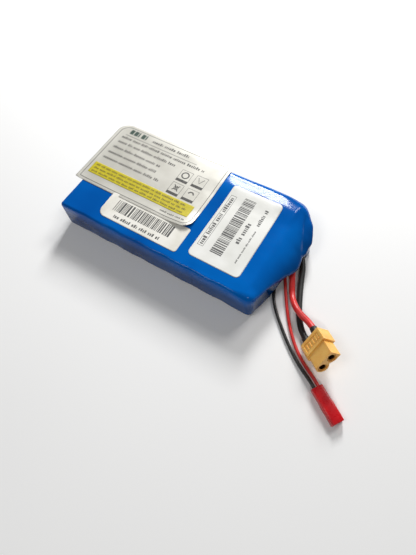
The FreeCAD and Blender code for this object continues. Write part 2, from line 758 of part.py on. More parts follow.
def charge_end(sign, placement):
    """Last two points of a charge lead: a straight entry, then the plug's rear face."""
    y = sign * PLUG_POLE_SPACING / 2
    z = PLUG_HEIGHT / 2
    points = [Vector(-PLUG_ENTRY, y, z), Vector(0, y, z)]
    return [tuple(placement.multVec(point)) for point in points]


# The whole pack

def cell_nodes():
    """Every piece of the seven cells."""
    nodes = {}
    for index in range(CELL_COUNT):
        number = index + 1
        nodes[f"cell_can_{number}"] = placed_cell(make_can(), index)
        nodes[f"electrode_roll_{number}"] = placed_cell(make_roll(), index)
        nodes[f"cell_wrap_{number}"] = placed_cell(make_wrap(), index)
    indices = range(CELL_COUNT)
    nodes["cell_caps"] = group([placed_cell(make_cap(), index) for index in indices])
    nodes["cap_gaskets"] = group([placed_cell(make_gasket(), index) for index in indices])
    return nodes


def wiring_nodes():
    """Links, end strips and sense wires."""
    nodes = {}
    for index in range(CELL_COUNT - 1):
        nodes[f"nickel_link_{index + 1}"] = make_link(index)
    nodes["positive_tab"] = make_positive_tab()
    nodes["negative_tab"] = make_negative_tab()
    for name, first in (("sense_wires_back", 0), ("sense_wires_front", 1)):
        routes = [sense_route(index) for index in range(first, CELL_COUNT - 1, 2)]
        nodes[name] = group([tube(route, SENSE_DIAMETER, SENSE_BEND)[0] for route in routes])
    return nodes


def cover_nodes():
    """Film, labels, boards, cards and pads."""
    corners = [(-1, 1), (1, -1)]
    every = [(-1, -1), (-1, 1), (1, -1), (1, 1)]
    return {
        "shrink_sleeve": make_sleeve(),
        "product_label": make_label(PRODUCT_LABEL, PRODUCT_LABEL_RADIUS, corners),
        "serial_label": make_label(SERIAL_LABEL, SERIAL_LABEL_RADIUS, every),
        "barcode_label": make_label(BARCODE_LABEL, BARCODE_LABEL_RADIUS, [(-1, -1)]),
        "top_board": make_top_board(),
        "bottom_board": make_bottom_board(),
        "end_board": make_end_board(),
        "front_card": make_card(-1),
        "back_card": make_card(1),
        "front_foam": make_foam(-1),
        "back_foam": make_foam(1),
    }


def board_nodes():
    """Protection board, its components and the solder at each lead."""
    blocks = [
        solder_block(POWER_RED_POINTS, POWER_LEAD_DIAMETER),
        solder_block(POWER_BLACK_POINTS, POWER_LEAD_DIAMETER),
        solder_block(CHARGE_RED_POINTS, CHARGE_LEAD_DIAMETER),
        solder_block(CHARGE_BLACK_POINTS, CHARGE_LEAD_DIAMETER),
    ]
    return {
        "bms_board": make_pcb(),
        "bms_mosfets": make_mosfets(),
        "bms_controller": make_chip(),
        "bms_resistors": make_resistors(),
        "solder_joints": group(blocks),
    }


def lead_nodes():
    """Leads, the power connector and the charge plug."""
    connector = connector_placement()
    plug = plug_placement()
    power_red = POWER_RED_POINTS + power_end(1, POWER_ENTRY, connector)
    power_black = POWER_BLACK_POINTS + power_end(-1, GROUND_ENTRY, connector)
    charge_red = CHARGE_RED_POINTS + charge_end(1, plug)
    charge_black = CHARGE_BLACK_POINTS + charge_end(-1, plug)
    thick = POWER_LEAD_DIAMETER
    thin = CHARGE_LEAD_DIAMETER
    return {
        "power_lead_red": make_cord("power_lead_red", power_red, thick),
        "power_lead_black": make_cord("power_lead_black", power_black, thick),
        "charge_lead_red": make_cord("charge_lead_red", charge_red, thin),
        "charge_lead_black": make_cord("charge_lead_black", charge_black, thin),
        "connector_housing": posed(local_housing(), connector),
        "positive_socket": posed(local_socket(1), connector),
        "negative_socket": posed(local_socket(-1), connector),
        "positive_boot": posed(local_boot(1), connector),
        "negative_boot": posed(local_boot(-1), connector),
        "plug_housing": posed(local_plug(), plug),
        "plug_contacts": posed(local_contacts(), plug),
    }


def build():
    """Every node of the pack by name."""
    nodes = {}
    for part_of in (cover_nodes, cell_nodes, wiring_nodes, board_nodes, lead_nodes):
        nodes.update(part_of())
    return nodes


os.makedirs("parts", exist_ok=True)
for node_name, node_shape in build().items():
    if not node_shape.isValid():
        raise ValueError(f"{node_name} is not a valid shape")
    node_shape.exportStep(f"parts/{node_name}.step")
print(f"body {2 * HALF_X:.2f} x {2 * HALF_Y:.2f} x {HEIGHT:.2f} mm")
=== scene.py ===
import json
import math
import random

import bmesh
import bpy
from mathutils import Matrix, Vector, noise


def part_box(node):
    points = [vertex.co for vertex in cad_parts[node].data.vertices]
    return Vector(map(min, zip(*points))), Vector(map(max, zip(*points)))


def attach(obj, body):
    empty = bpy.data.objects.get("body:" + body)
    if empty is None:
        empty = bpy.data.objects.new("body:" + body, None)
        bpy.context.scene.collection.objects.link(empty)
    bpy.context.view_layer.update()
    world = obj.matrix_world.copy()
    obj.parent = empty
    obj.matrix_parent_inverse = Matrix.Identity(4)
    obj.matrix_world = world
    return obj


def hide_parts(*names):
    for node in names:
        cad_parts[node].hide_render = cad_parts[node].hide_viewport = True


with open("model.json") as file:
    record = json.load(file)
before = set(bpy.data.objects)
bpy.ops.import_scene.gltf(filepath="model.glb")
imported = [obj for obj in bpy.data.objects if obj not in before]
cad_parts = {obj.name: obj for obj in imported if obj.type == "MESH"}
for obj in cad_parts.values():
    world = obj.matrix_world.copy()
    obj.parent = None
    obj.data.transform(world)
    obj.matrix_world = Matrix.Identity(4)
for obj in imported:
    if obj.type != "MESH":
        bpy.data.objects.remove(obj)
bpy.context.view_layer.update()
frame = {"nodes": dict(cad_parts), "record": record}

# Shapes are worked out in millimetres, in the frame of the CAD model, and scaled once
# when a mesh is made.
MM = 0.001
BODY = "root"
CELL_COUNT = 7


# Measures taken from the frame

def box_mm(node):
    """Lowest and highest corner of a CAD node, in millimetres."""
    low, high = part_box(node)
    return low / MM, high / MM


SLEEVE_LOW, SLEEVE_HIGH = box_mm("shrink_sleeve")
HALF_X = -SLEEVE_LOW.x
HALF_Y = SLEEVE_HIGH.y
TOP_Z = SLEEVE_HIGH.z
CELL_X = [sum(corner.x for corner in box_mm(f"cell_can_{n}")) / 2
          for n in range(1, CELL_COUNT + 1)]
CELL_PITCH = CELL_X[1] - CELL_X[0]
CELL_Z = sum(corner.z for corner in box_mm("cell_can_1")) / 2


def lerp(a, b, t):
    """A value a share t of the way from a to b."""
    return a + (b - a) * t


def smooth(edge0, edge1, value):
    """0 before edge0, 1 after edge1, and a smooth rise between them."""
    t = max(0.0, min(1.0, (value - edge0) / (edge1 - edge0)))
    return t * t * (3 - 2 * t)


def along(points, value):
    """Smooth value at a place along a list of (place, value) points."""
    if value <= points[0][0]:
        return points[0][1]
    for (x0, y0), (x1, y1) in zip(points, points[1:]):
        if value <= x1:
            return lerp(y0, y1, smooth(x0, x1, value) * 0.5 + (value - x0) / (x1 - x0) * 0.5)
    return points[-1][1]


def rough_noise(x, y, z, scale):
    """Smooth noise from about -1 to 1, with features of about that size."""
    return noise.noise(Vector((x / scale, y / scale, z / scale)))


# Objects and materials

def add_object(name, data):
    """An object with its mesh, curve, light or camera, put in the scene."""
    made = bpy.data.objects.new(name, data)
    bpy.context.scene.collection.objects.link(made)
    return made


def piece(name, verts, faces, material, smooth_faces=True, bevel=0.0):
    """A mesh from points in millimetres, riding on the pack."""
    mesh = bpy.data.meshes.new(name)
    mesh.from_pydata([Vector(v) * MM for v in verts], [], faces)
    builder = bmesh.new()
    builder.from_mesh(mesh)
    bmesh.ops.recalc_face_normals(builder, faces=builder.faces)
    builder.to_mesh(mesh)
    builder.free()
    mesh.polygons.foreach_set("use_smooth", [smooth_faces] * len(mesh.polygons))
    made = add_object(name, mesh)
    mesh.materials.append(material)
    if bevel:
        round_edges(made, bevel)
    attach(made, BODY)
    return made


def round_edges(made, width):
    """Rounds a mesh's sharp edges by a width in millimetres."""
    modifier = made.modifiers.new("rounding", "BEVEL")
    modifier.width = width * MM
    modifier.segments = 3
    modifier.limit_method = "ANGLE"
    modifier.angle_limit = math.radians(30)
    modifier.harden_normals = True
    made.data.polygons.foreach_set("use_smooth", [True] * len(made.data.polygons))


class Paint:
    """One material, with short ways to add and link its shader nodes."""

    def __init__(self, name, roughness=0.5, metallic=0.0):
        self.material = bpy.data.materials.new(name)
        self.material.use_nodes = True
        self.tree = self.material.node_tree
        self.shader = self.tree.nodes["Principled BSDF"]
        self.fixed({"Roughness": roughness, "Metallic": metallic})
        self.place = self.tree.nodes.new("ShaderNodeTexCoord").outputs["Object"]

    def fixed(self, values):
        """Sets plain values of the material."""
        for name, value in values.items():
            self.shader.inputs[name].default_value = value

    def added(self, kind, source, socket, values):
        """A new node with those values, and a source linked to one of its sockets."""
        node = self.tree.nodes.new("ShaderNode" + kind)
        for name, value in values.items():
            node.inputs[name].default_value = value
        self.tree.links.new(source, node.inputs[socket])
        return node

    def stretched(self, scale):
        """Object coordinates in millimetres, times a scale for each axis."""
        scale = [s / MM for s in scale]
        return self.added("Mapping", self.place, "Vector", {"Scale": scale}).outputs["Vector"]

    def noise(self, size, detail=3.0, stretch=(1, 1, 1)):
        """Noise with features of about that size in millimetres."""
        vector = self.stretched([s / size for s in stretch])
        node = self.added("TexNoise", vector, "Vector", {"Scale": 1.0, "Detail": detail})
        return node.outputs["Fac"]

    def ramp(self, source, stops):
        """Colours picked by a value: stops are (place, colour) pairs."""
        node = self.added("ValToRGB", source, "Fac", {})
        elements = node.color_ramp.elements
        while len(elements) < len(stops):
            elements.new(0.5)
        for element, (position, colour) in zip(elements, stops):
            element.position = position
            element.color = (*colour, 1)
        return node.outputs["Color"]

    def spread(self, source, low, high):
        """A value's range from 0.3 to 0.7 mapped to low and high."""
        ends = {"From Min": 0.3, "From Max": 0.7, "To Min": low, "To Max": high}
        return self.added("MapRange", source, "Value", ends).outputs["Result"]

    def shaded_below(self, colour, low, high, share):
        """Painted shade: a colour that falls to a share of itself from one height to a lower one, in
        mm.
        """
        split = self.added("SeparateXYZ", self.place, "Vector", {})
        ends = {"From Min": low * MM, "From Max": high * MM, "To Min": share, "To Max": 1.0}
        height = self.added("MapRange", split.outputs["Z"], "Value", ends)
        height.interpolation_type = "SMOOTHSTEP"
        scale = self.added("VectorMath", colour, "Vector", {})
        scale.operation = "SCALE"
        self.tree.links.new(height.outputs["Result"], scale.inputs["Scale"])
        return scale.outputs["Vector"]

    def colour(self, output):
        self.tree.links.new(output, self.shader.inputs["Base Color"])

    def roughness(self, output):
        self.tree.links.new(output, self.shader.inputs["Roughness"])

    def bump(self, source, depth, strength=1.0):
        """Relief of that depth in millimetres; each call adds to the one before."""
        values = {"Strength": strength, "Distance": depth * MM}
        node = self.added("Bump", source, "Height", values)
        normal = self.shader.inputs["Normal"]
        if normal.is_linked:
            self.tree.links.new(normal.links[0].from_socket, node.inputs["Normal"])
        self.tree.links.new(node.outputs["Normal"], normal)


def plain_paint(name, dark, light, size, rough, depth, metallic=0.0, stretch=(1, 1, 1)):
    """Material with mottled colour, uneven roughness and fine relief."""
    paint = Paint(name, metallic=metallic)
    wide = paint.noise(size, 4.0, stretch)
    fine = paint.noise(size / 6, 3.0, stretch)
    paint.colour(paint.ramp(wide, [(0.3, dark), (0.7, light)]))
    paint.roughness(paint.spread(fine, rough[0], rough[1]))
    paint.bump(fine, depth)
    return paint


def film_paint():
    """Glossy blue shrink film, with painted shade darkening it down the sides to keep them deep in soft
    light.
    """
    paint = Paint("blue_shrink_film")
    broad = paint.noise(38, 2.0)
    blue = paint.ramp(broad, [(0.32, (0.000, 0.070, 0.320)), (0.5, (0.000, 0.098, 0.410)),
                              (0.68, (0.000, 0.125, 0.490))])
    # Painted shade: the film's blue falls to 0.45 of itself from 19 mm down to 9 mm height.
    paint.colour(paint.shaded_below(blue, 9.0, 19.0, 0.45))
    streak = paint.noise(3.0, 4.0, (0.4, 1.6, 1.0))
    paint.roughness(paint.spread(streak, 0.10, 0.17))
    paint.bump(paint.noise(9.0, 2.0), 0.10, 0.5)
    paint.bump(paint.noise(0.6, 3.0), 0.006, 0.6)
    paint.fixed({"Specular IOR Level": 0.14, "Coat Weight": 0.16, "Coat IOR": 1.35,
                 "Coat Roughness": 0.05})
    return paint.material


def label_paint(name, dark, light, rough, metallic):
    """Coated label stock with a faint grain and slight stains."""
    paint = Paint(name, metallic=metallic)
    stain = paint.noise(14, 5.0)
    grain = paint.noise(0.5, 3.0, (1, 0.3, 1))
    paint.colour(paint.ramp(stain, [(0.3, dark), (0.6, light)]))
    paint.roughness(paint.spread(grain, rough[0], rough[1]))
    paint.bump(grain, 0.01, 0.5)
    return paint.material


def ink_paint(name, dark, light):
    """Printed ink, a little uneven where it is worn."""
    paint = plain_paint(name, dark, light, 1.6, (0.45, 0.65), 0.004)
    return paint.material


def wire_paint(name, dark, light):
    """Soft silicone insulation with an uneven satin skin."""
    paint = plain_paint(name, dark, light, 5.0, (0.30, 0.46), 0.015)
    paint.fixed({"Sheen Weight": 0.12, "Sheen Roughness": 0.4})
    return paint.material


def nylon_paint():
    """Moulded amber nylon with a fine sparked texture and flow marks."""
    paint = Paint("amber_nylon_moulding")
    flow = paint.noise(5.0, 4.0, (1, 1, 0.5))
    grain = paint.noise(0.25, 3.0)
    paint.colour(paint.ramp(flow, [(0.3, (0.88, 0.44, 0.085)), (0.7, (0.97, 0.57, 0.14))]))
    paint.roughness(paint.spread(grain, 0.30, 0.44))
    paint.bump(grain, 0.012, 0.7)
    paint.fixed({"Subsurface Weight": 0.15, "Subsurface Scale": 0.0012,
                 "Subsurface Radius": (1.0, 0.55, 0.2)})
    return paint.material


def metal_paint(name, dark, light, rough, size=2.0, stretch=(1, 1, 1)):
    """Metal with slight tarnish, in lines where it is stretched."""
    return plain_paint(name, dark, light, size, rough, 0.006, 1.0, stretch).material


def rolled_paint():
    """Wound electrodes: thin dark and light layers in rings about the frame's Y axis."""
    paint = Paint("electrode_layers")
    wave = paint.added("TexWave", paint.stretched((1, 1, 1)), "Vector",
                       {"Scale": 1.1, "Distortion": 0.6})
    wave.wave_type = "RINGS"
    wave.rings_direction = "Y"
    paint.colour(paint.ramp(wave.outputs["Fac"], [(0.35, (0.02, 0.02, 0.022)),
                                                  (0.65, (0.30, 0.16, 0.08))]))
    paint.roughness(paint.spread(paint.noise(1.5), 0.5, 0.75))
    paint.bump(wave.outputs["Fac"], 0.03)
    return paint.material


def board_paint():
    """Green circuit board: solder mask over woven glass, with faint copper runs."""
    paint = Paint("green_circuit_board")
    weave = paint.noise(0.4, 2.0, (1, 1, 0.25))
    runs = paint.noise(3.2, 1.0, (1, 1, 0.4))
    paint.colour(paint.ramp(runs, [(0.44, (0.010, 0.085, 0.030)), (0.48, (0.020, 0.150, 0.055)),
                                   (0.56, (0.020, 0.150, 0.055)), (0.60, (0.010, 0.085, 0.030))]))
    paint.roughness(paint.spread(weave, 0.28, 0.42))
    paint.bump(weave, 0.01)
    paint.bump(runs, 0.03, 0.6)
    return paint.material


FILM = film_paint()
SILVER_LABEL = label_paint("silver_label_stock", (0.575, 0.56, 0.50), (0.665, 0.65, 0.59),
                           (0.34, 0.46), 0.25)
WHITE_LABEL = label_paint("white_label_stock", (0.69, 0.69, 0.645), (0.79, 0.79, 0.755),
                          (0.40, 0.52), 0.0)
PAPER_LABEL = label_paint("paper_label_stock", (0.70, 0.68, 0.60), (0.84, 0.82, 0.76),
                          (0.42, 0.55), 0.0)
DARK_INK = ink_paint("grey_black_ink", (0.040, 0.038, 0.035), (0.085, 0.083, 0.076))
PALE_INK = ink_paint("pale_grey_ink", (0.085, 0.082, 0.075), (0.15, 0.145, 0.13))
GREEN_INK = ink_paint("green_black_ink", (0.028, 0.055, 0.042), (0.06, 0.10, 0.08))
NOTE_INK = ink_paint("brown_ink", (0.10, 0.080, 0.010), (0.19, 0.155, 0.018))
BAR_INK = ink_paint("black_bar_ink", (0.055, 0.055, 0.053), (0.12, 0.12, 0.115))
YELLOW_INK = ink_paint("yellow_ink", (0.49, 0.41, 0.005), (0.60, 0.51, 0.012))
RED_WIRE = wire_paint("red_silicone_skin", (0.56, 0.018, 0.017), (0.74, 0.034, 0.031))
BLACK_WIRE = wire_paint("black_silicone_skin", (0.006, 0.006, 0.006), (0.016, 0.015, 0.014))
NYLON = nylon_paint()
BOOT = plain_paint("black_shrink_tube", (0.010, 0.009, 0.008), (0.028, 0.025, 0.022), 2.0,
                   (0.35, 0.55), 0.03).material
RED_PLASTIC = plain_paint("red_plug_moulding", (0.50, 0.004, 0.010), (0.66, 0.012, 0.016), 6.0,
                          (0.24, 0.36), 0.01).material
GOLD = metal_paint("gold_plate", (0.36, 0.19, 0.05), (0.52, 0.30, 0.09), (0.25, 0.38))
TINNED = metal_paint("tinned_bronze", (0.55, 0.52, 0.46), (0.74, 0.72, 0.66), (0.22, 0.36))
FOAM = plain_paint("grey_foam", (0.060, 0.060, 0.064), (0.13, 0.13, 0.135), 0.9,
                   (0.8, 0.95), 0.15).material


# Camera and light

def unit(azimuth, elevation):
    """Direction towards a viewer at that azimuth and elevation, in degrees."""
    a = math.radians(azimuth)
    e = math.radians(elevation)
    return Vector((math.sin(a) * math.cos(e), -math.cos(a) * math.cos(e), math.sin(e)))


CAMERA_PLACE = Vector((102.88, -117.77, 220.65))
CAMERA_AZIMUTH = 37.61
CAMERA_ELEVATION = 62.20
CAMERA_ROLL = -6.893
CAMERA_LENS = 27.79


def add_camera():
    """Camera at the viewing angle, rolled a little about its own axis."""
    back = unit(CAMERA_AZIMUTH, CAMERA_ELEVATION)
    azimuth = math.radians(CAMERA_AZIMUTH)
    level = Vector((math.cos(azimuth), math.sin(azimuth), 0))
    roll = math.radians(CAMERA_ROLL)
    right = level * math.cos(roll) + back.cross(level) * math.sin(roll)
    up = back.cross(right)
    pose = Matrix((right, up, back)).transposed().to_4x4()
    pose.translation = CAMERA_PLACE * MM
    data = bpy.data.cameras.new("camera")
    data.sensor_width = 36.0
    data.lens = CAMERA_LENS
    data.clip_start = 0.005
    data.clip_end = 20.0
    camera = add_object("camera", data)
    camera.matrix_world = pose
    bpy.context.scene.camera = camera


def add_panel(name, direction, distance, size, watts, colour, aim=(0.02, 0, 0.01)):
    """Soft rectangular light, aimed at a point, at a distance in metres."""
    data = bpy.data.lights.new(name, "AREA")
    data.shape = "RECTANGLE"
    data.size, data.size_y = size
    data.energy = watts
    data.color = colour
    light = add_object(name, data)
    light.location = Vector(aim) + Vector(direction).normalized() * distance
    light.rotation_mode = "QUATERNION"
    light.rotation_quaternion = Vector(direction).to_track_quat("Z", "Y")


def add_studio():
    """Pale floor, an even sky, soft panels and plain colour handling."""
    builder = bmesh.new()
    bmesh.ops.create_grid(builder, x_segments=1, y_segments=1, size=3.0)
    mesh = bpy.data.meshes.new("floor")
    builder.to_mesh(mesh)
    builder.free()
    floor = add_object("floor", mesh)
    floor.location.z = -0.0001
    paint = Paint("pale_floor", roughness=0.9)
    shade = paint.noise(400, 2.0)
    paint.colour(paint.ramp(shade, [(0.3, (0.86, 0.86, 0.855)), (0.7, (0.90, 0.90, 0.895))]))
    mesh.materials.append(paint.material)
    world = bpy.data.worlds.new("studio")
    world.use_nodes = True
    sky = world.node_tree.nodes["Background"]
    sky.inputs["Color"].default_value = (0.95, 0.97, 1.0, 1)
    sky.inputs["Strength"].default_value = 0.10
    bpy.context.scene.world = world
    add_panel("key", (0.16, 0.72, 0.66), 1.25, (0.36, 0.30), 5.2, (1.0, 0.99, 0.975))
    add_panel("fill", (-0.30, -0.45, 0.85), 1.40, (0.50, 0.50), 3.3, (1.0, 0.99, 0.98))
    add_panel("rear_window", (-0.28, 0.78, 0.57), 0.62, (0.13, 0.20), 4.2, (1.0, 1.0, 1.0),
              aim=(0.032, 0.032, 0.020))
    add_panel("front_glint", (0.35, -0.55, 0.75), 1.1, (0.05, 0.05), 1.4, (1.0, 1.0, 1.0))
    bpy.context.scene.view_settings.view_transform = "Standard"


# Leads: each one spline along the route of its CAD tube, in metres

POWER_DIAMETER = 0.0035
CHARGE_DIAMETER = 0.0018

POWER_RED_POINTS = [
    (0.0690, 0.0110, 0.0064), (0.0690, 0.0064, 0.0064), (0.0726, 0.0002, 0.0054),
    (0.0760, -0.0064, 0.0032), (0.0796, -0.0136, 0.0019), (0.0842, -0.0200, 0.0060),
    (0.0888, -0.0228, 0.0066), (0.0952, -0.0247, 0.0061), (0.0989, -0.0279, 0.0081),
]
POWER_BLACK_POINTS = [
    (0.0694, 0.0234, 0.0038), (0.0694, 0.0184, 0.0038), (0.0730, 0.0122, 0.0034),
    (0.0770, 0.0056, 0.0026), (0.0803, -0.0040, 0.00185), (0.0838, -0.0130, 0.0018),
    (0.0876, -0.0212, 0.0018), (0.0912, -0.0270, 0.0018), (0.0951, -0.0308, 0.0018),
    (0.0974, -0.0328, 0.0030),
]
CHARGE_RED_POINTS = [
    (0.0672, 0.0050, 0.0034), (0.0672, 0.0014, 0.0034), (0.0700, -0.0032, 0.0022),
    (0.0734, -0.0092, 0.0010), (0.0780, -0.0172, 0.00095), (0.0832, -0.0254, 0.00095),
    (0.0888, -0.0328, 0.00095), (0.0946, -0.0390, 0.00095), (0.0997, -0.0430, 0.00095),
    (0.1046, -0.0462, 0.0013), (0.1091, -0.0489, 0.00225), (0.1129, -0.0514, 0.00225),
]
CHARGE_BLACK_POINTS = [
    (0.0672, -0.0046, 0.0024), (0.0672, -0.0084, 0.0024), (0.0686, -0.0136, 0.0015),
    (0.0712, -0.0194, 0.00095), (0.0754, -0.0250, 0.00095), (0.0810, -0.0306, 0.00095),
    (0.0880, -0.0372, 0.00095), (0.0950, -0.0429, 0.00095), (0.1012, -0.0472, 0.0012),
    (0.1078, -0.0510, 0.00225), (0.1115, -0.0534, 0.00225),
]


def add_lead(name, points, diameter, paint):
    """A lead as one smooth spline along that route."""
    curve = bpy.data.curves.new(name, "CURVE")
    curve.dimensions = "3D"
    curve.bevel_depth = diameter / 2
    curve.bevel_resolution = 8
    curve.resolution_u = 16
    curve.use_fill_caps = True
    spline = curve.splines.new("NURBS")
    spline.points.add(len(points) - 1)
    for target, point in zip(spline.points, points):
        target.co = (*point, 1)
    spline.order_u = 3
    spline.use_endpoint_u = True
    curve.materials.append(paint)
    lead = add_object(name, curve)
    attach(lead, BODY)
    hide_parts(name.replace("_wire", "_lead"))


# Shrink film

FRONT_PULL = [0.30, 0.38, 0.24, 0.34, 0.28, 0.32]
BACK_PULL = [0.32, 0.36, 0.28, 0.22, 0.14, 0.10]
HOOD_START_X = 62.8
HOOD_START_Z = 18.69
HOOD_SLOPE = math.tan(math.radians(36))
ROUND_LENGTH = 6.0
ROUND_START_X = HALF_X - ROUND_LENGTH
HOOD_OUTLINE = [
    (-34.0, HALF_X), (-28.6, 66.4), (-21.5, 67.8), (-17.0, 69.3), (-12.5, 70.9), (-8.4, 72.4),
    (-6.2, 73.7), (-2.6, 75.2), (0.4, 75.9), (5.0, 75.4), (8.6, 74.5), (10.4, 75.7),
    (14.7, 75.2), (17.6, 75.8), (21.5, 74.2), (25.0, 72.6), (28.6, 70.4), (31.0, 68.9),
    (33.0, 67.4), (35.4, 65.8),
]
HEM = [(-19.5, 0.0), (-17.5, 2.7), (-14.5, 4.2), (-12.0, 6.8), (-9.5, 9.4), (-7.5, 11.5)]
CREASE_START = Vector((74.3, 9.1))
CREASE_END = Vector((65.5, 28.0))
MOUTH_START_Y = -19.5
MOUTH_END_Y = 13.0
MOUTH_FLOOR_X = 67.2
RELAX_ROUNDS = 6
FILM_THICKNESS = 0.22


def gap_weight(x, y):
    """Pull of the film: 0 over the middle of a cell, and the gap's own pull over a gap."""
    if abs(x) > CELL_X[-1]:
        return 0.0
    index = min(CELL_COUNT - 2, max(0, int((x - CELL_X[0]) / CELL_PITCH)))
    share = 0.5 - 0.5 * math.cos(2 * math.pi * (x - CELL_X[0]) / CELL_PITCH)
    pulls = FRONT_PULL if y < 0 else BACK_PULL
    return share ** 1.3 * pulls[index]


def top_bulge(x, y):
    """Soft unevenness of the film on the flat faces, and its puff along the back."""
    broad = 0.09 * rough_noise(x, y, 3.0, 19) + 0.05 * rough_noise(x, y, 9.0, 8)
    puff = 0.62 * smooth(14, 25, y) * (1 - smooth(24.5, 34, y)) * smooth(-5, 18, x)
    front_puff = 0.22 * smooth(-33, -28, y) * (1 - smooth(-28, -20, y))
    front_puff *= smooth(20, 27, x) * (1 - smooth(40, 60, x)) + smooth(48, 54, x)
    return max(-0.02, 0.07 + broad) + puff + front_puff


def edge_radius(x, y, z):
    """How round the film is at a place near one of the pack's edges."""
    plain = 1.9 + 1.1 * gap_weight(x, y)
    if y > 0:
        plain = lerp(plain, 3.6, smooth(0, 25, x) * smooth(5, 14, z))
    high = smooth(5, 14, z)
    corner = lerp(4.4, 6.5, smooth(-10, 25, y))
    right = lerp(3.0, corner, high)
    return lerp(plain, right, smooth(50, 63, x))


def swell(x, outward):
    """How far the film stands out from the cells towards the lead end."""
    if outward.y > 0:
        return 1.9 * smooth(-5, 42, x)
    return 0.5 * smooth(50, 62, x)


def wrapped(x, y, z):
    """Point of the body's film for a point on the sharp box, and the way it faces."""
    radius = edge_radius(x, y, z)
    core = Vector((max(-HALF_X + radius, min(HALF_X - radius, x)),
                   max(-HALF_Y + radius, min(HALF_Y - radius, y)),
                   max(radius, min(TOP_Z - radius, z))))
    outward = (Vector((x, y, z)) - core).normalized()
    point = core + outward * radius
    point += Vector((outward.x, outward.y, 0)) * swell(x, outward)
    away = (z - CELL_Z) / CELL_Z
    pull = gap_weight(x, y) * (0.18 + 0.75 * away * away) * abs(outward.y)
    point.y -= math.copysign(pull, y)
    point.z += top_bulge(x, y) * max(0.0, outward.z)
    point.z += 0.03 * min(0.0, outward.z) * rough_noise(x, y, 0, 9)
    point.y += 0.10 * outward.y * rough_noise(x, z, y, 6)
    point.x += 0.10 * outward.x * rough_noise(y, z, x, 6)
    return point, outward


def end_fold(point, outward):
    """Gift-wrap creases of the film on the closed end."""
    if outward.x > -0.9:
        return point
    side = HALF_Y - abs(point.y)
    rise = min(point.z, TOP_Z - point.z)
    diagonal = abs(side - rise * 1.4)
    middle = abs(point.z - CELL_Z) if side > CELL_Z * 1.4 else 9.0
    depth = 0.28 * math.exp(-(diagonal / 0.7) ** 2) + 0.22 * math.exp(-(middle / 0.6) ** 2)
    point.x += depth * smooth(1.0, 3.0, rise)
    return point


def tip_height(x):
    """Height of the hood's rim where it reaches out to x."""
    return HOOD_START_Z - (x - HOOD_START_X) * HOOD_SLOPE


def roof_height(x, y, reach):
    """Height of the hood's roof, with its crease and the flatter strip beyond it."""
    share = max(0.0, min(1.0, (x - ROUND_START_X) / (reach - ROUND_START_X)))
    height = TOP_Z - (TOP_Z - tip_height(reach)) * share ** 1.7
    run = (CREASE_END - CREASE_START).normalized()
    offset = Vector((x, y)) - CREASE_START
    beyond = offset.x * run.y - offset.y * run.x
    progress = offset.dot(run)
    inside = smooth(-6, 1, progress) * (1 - smooth(17, 23, progress))
    height += 0.40 * max(0.0, beyond) * inside
    height -= 1.1 * math.exp(-(beyond / 0.7) ** 2) * inside
    height += 0.22 * rough_noise(x, y, 2.0, 3.4) * smooth(65, 71, x)
    height += 0.12 * math.sin(y * 0.9 + x * 0.35) * smooth(67, 74, x)
    return height


def hood_length(y):
    """Reach of the hood, the height of its rim, and the length of its roof."""
    reach = along(HOOD_OUTLINE, y)
    tip_z = roof_height(reach, y, reach)
    return reach, tip_z, math.hypot(reach - ROUND_START_X, TOP_Z - tip_z)


def hood_point(y, share):
    """Point of the hood a share of the way to the floor, and how far below its rim it is."""
    reach, tip_z, roof = hood_length(y)
    travel = share * (roof + tip_z)
    if travel < roof:
        x = lerp(ROUND_START_X, reach, travel / roof)
        return Vector((x, y, roof_height(x, y, reach))), -1.0
    travel -= roof
    lean = 0.5 * math.sin(min(1.0, travel / max(tip_z, 0.1)) * math.pi)
    return Vector((reach - lean, y, max(0.0, tip_z - travel))), travel


def hood_share(y):
    """How far the film at a place across the width belongs to the hood."""
    return smooth(-33.5, -27.0, y) * (1 - smooth(27.5, 34.5, y))


def film_point(x, y, z, on_bottom):
    """Point of the film for a point on the sharp box, and its travel: how far below the
    hood's rim it is, or how far it reaches along x on the bottom."""
    body, outward = wrapped(x, y, z)
    body = end_fold(body, outward)
    weight = hood_share(y)
    if x < ROUND_START_X or weight <= 0:
        return body, -1.0
    if on_bottom:
        reach = along(HOOD_OUTLINE, y)
        stretched = lerp(ROUND_START_X, reach, (x - ROUND_START_X) / ROUND_LENGTH)
        return body.lerp(Vector((stretched, y, 0.0)), weight), stretched
    down = x - ROUND_START_X if z >= TOP_Z - 1e-6 else ROUND_LENGTH + TOP_Z - z
    point, travel = hood_point(y, down / (ROUND_LENGTH + TOP_Z))
    point.z += top_bulge(point.x, y) * (1 - smooth(59, 63, point.x))
    return body.lerp(point, weight), travel


def in_mouth(y, travel, on_bottom):
    """Whether the film is open there, where the leads come out."""
    if not MOUTH_START_Y < y < MOUTH_END_Y:
        return False
    if on_bottom:
        return travel > MOUTH_FLOOR_X
    tip_z = hood_length(y)[1]
    lip = 0.9 + 0.4 * math.sin(y * 0.7) + 2.2 * smooth(7.5, 10.5, y)
    return travel > max(lip, tip_z - along(HEM, y))


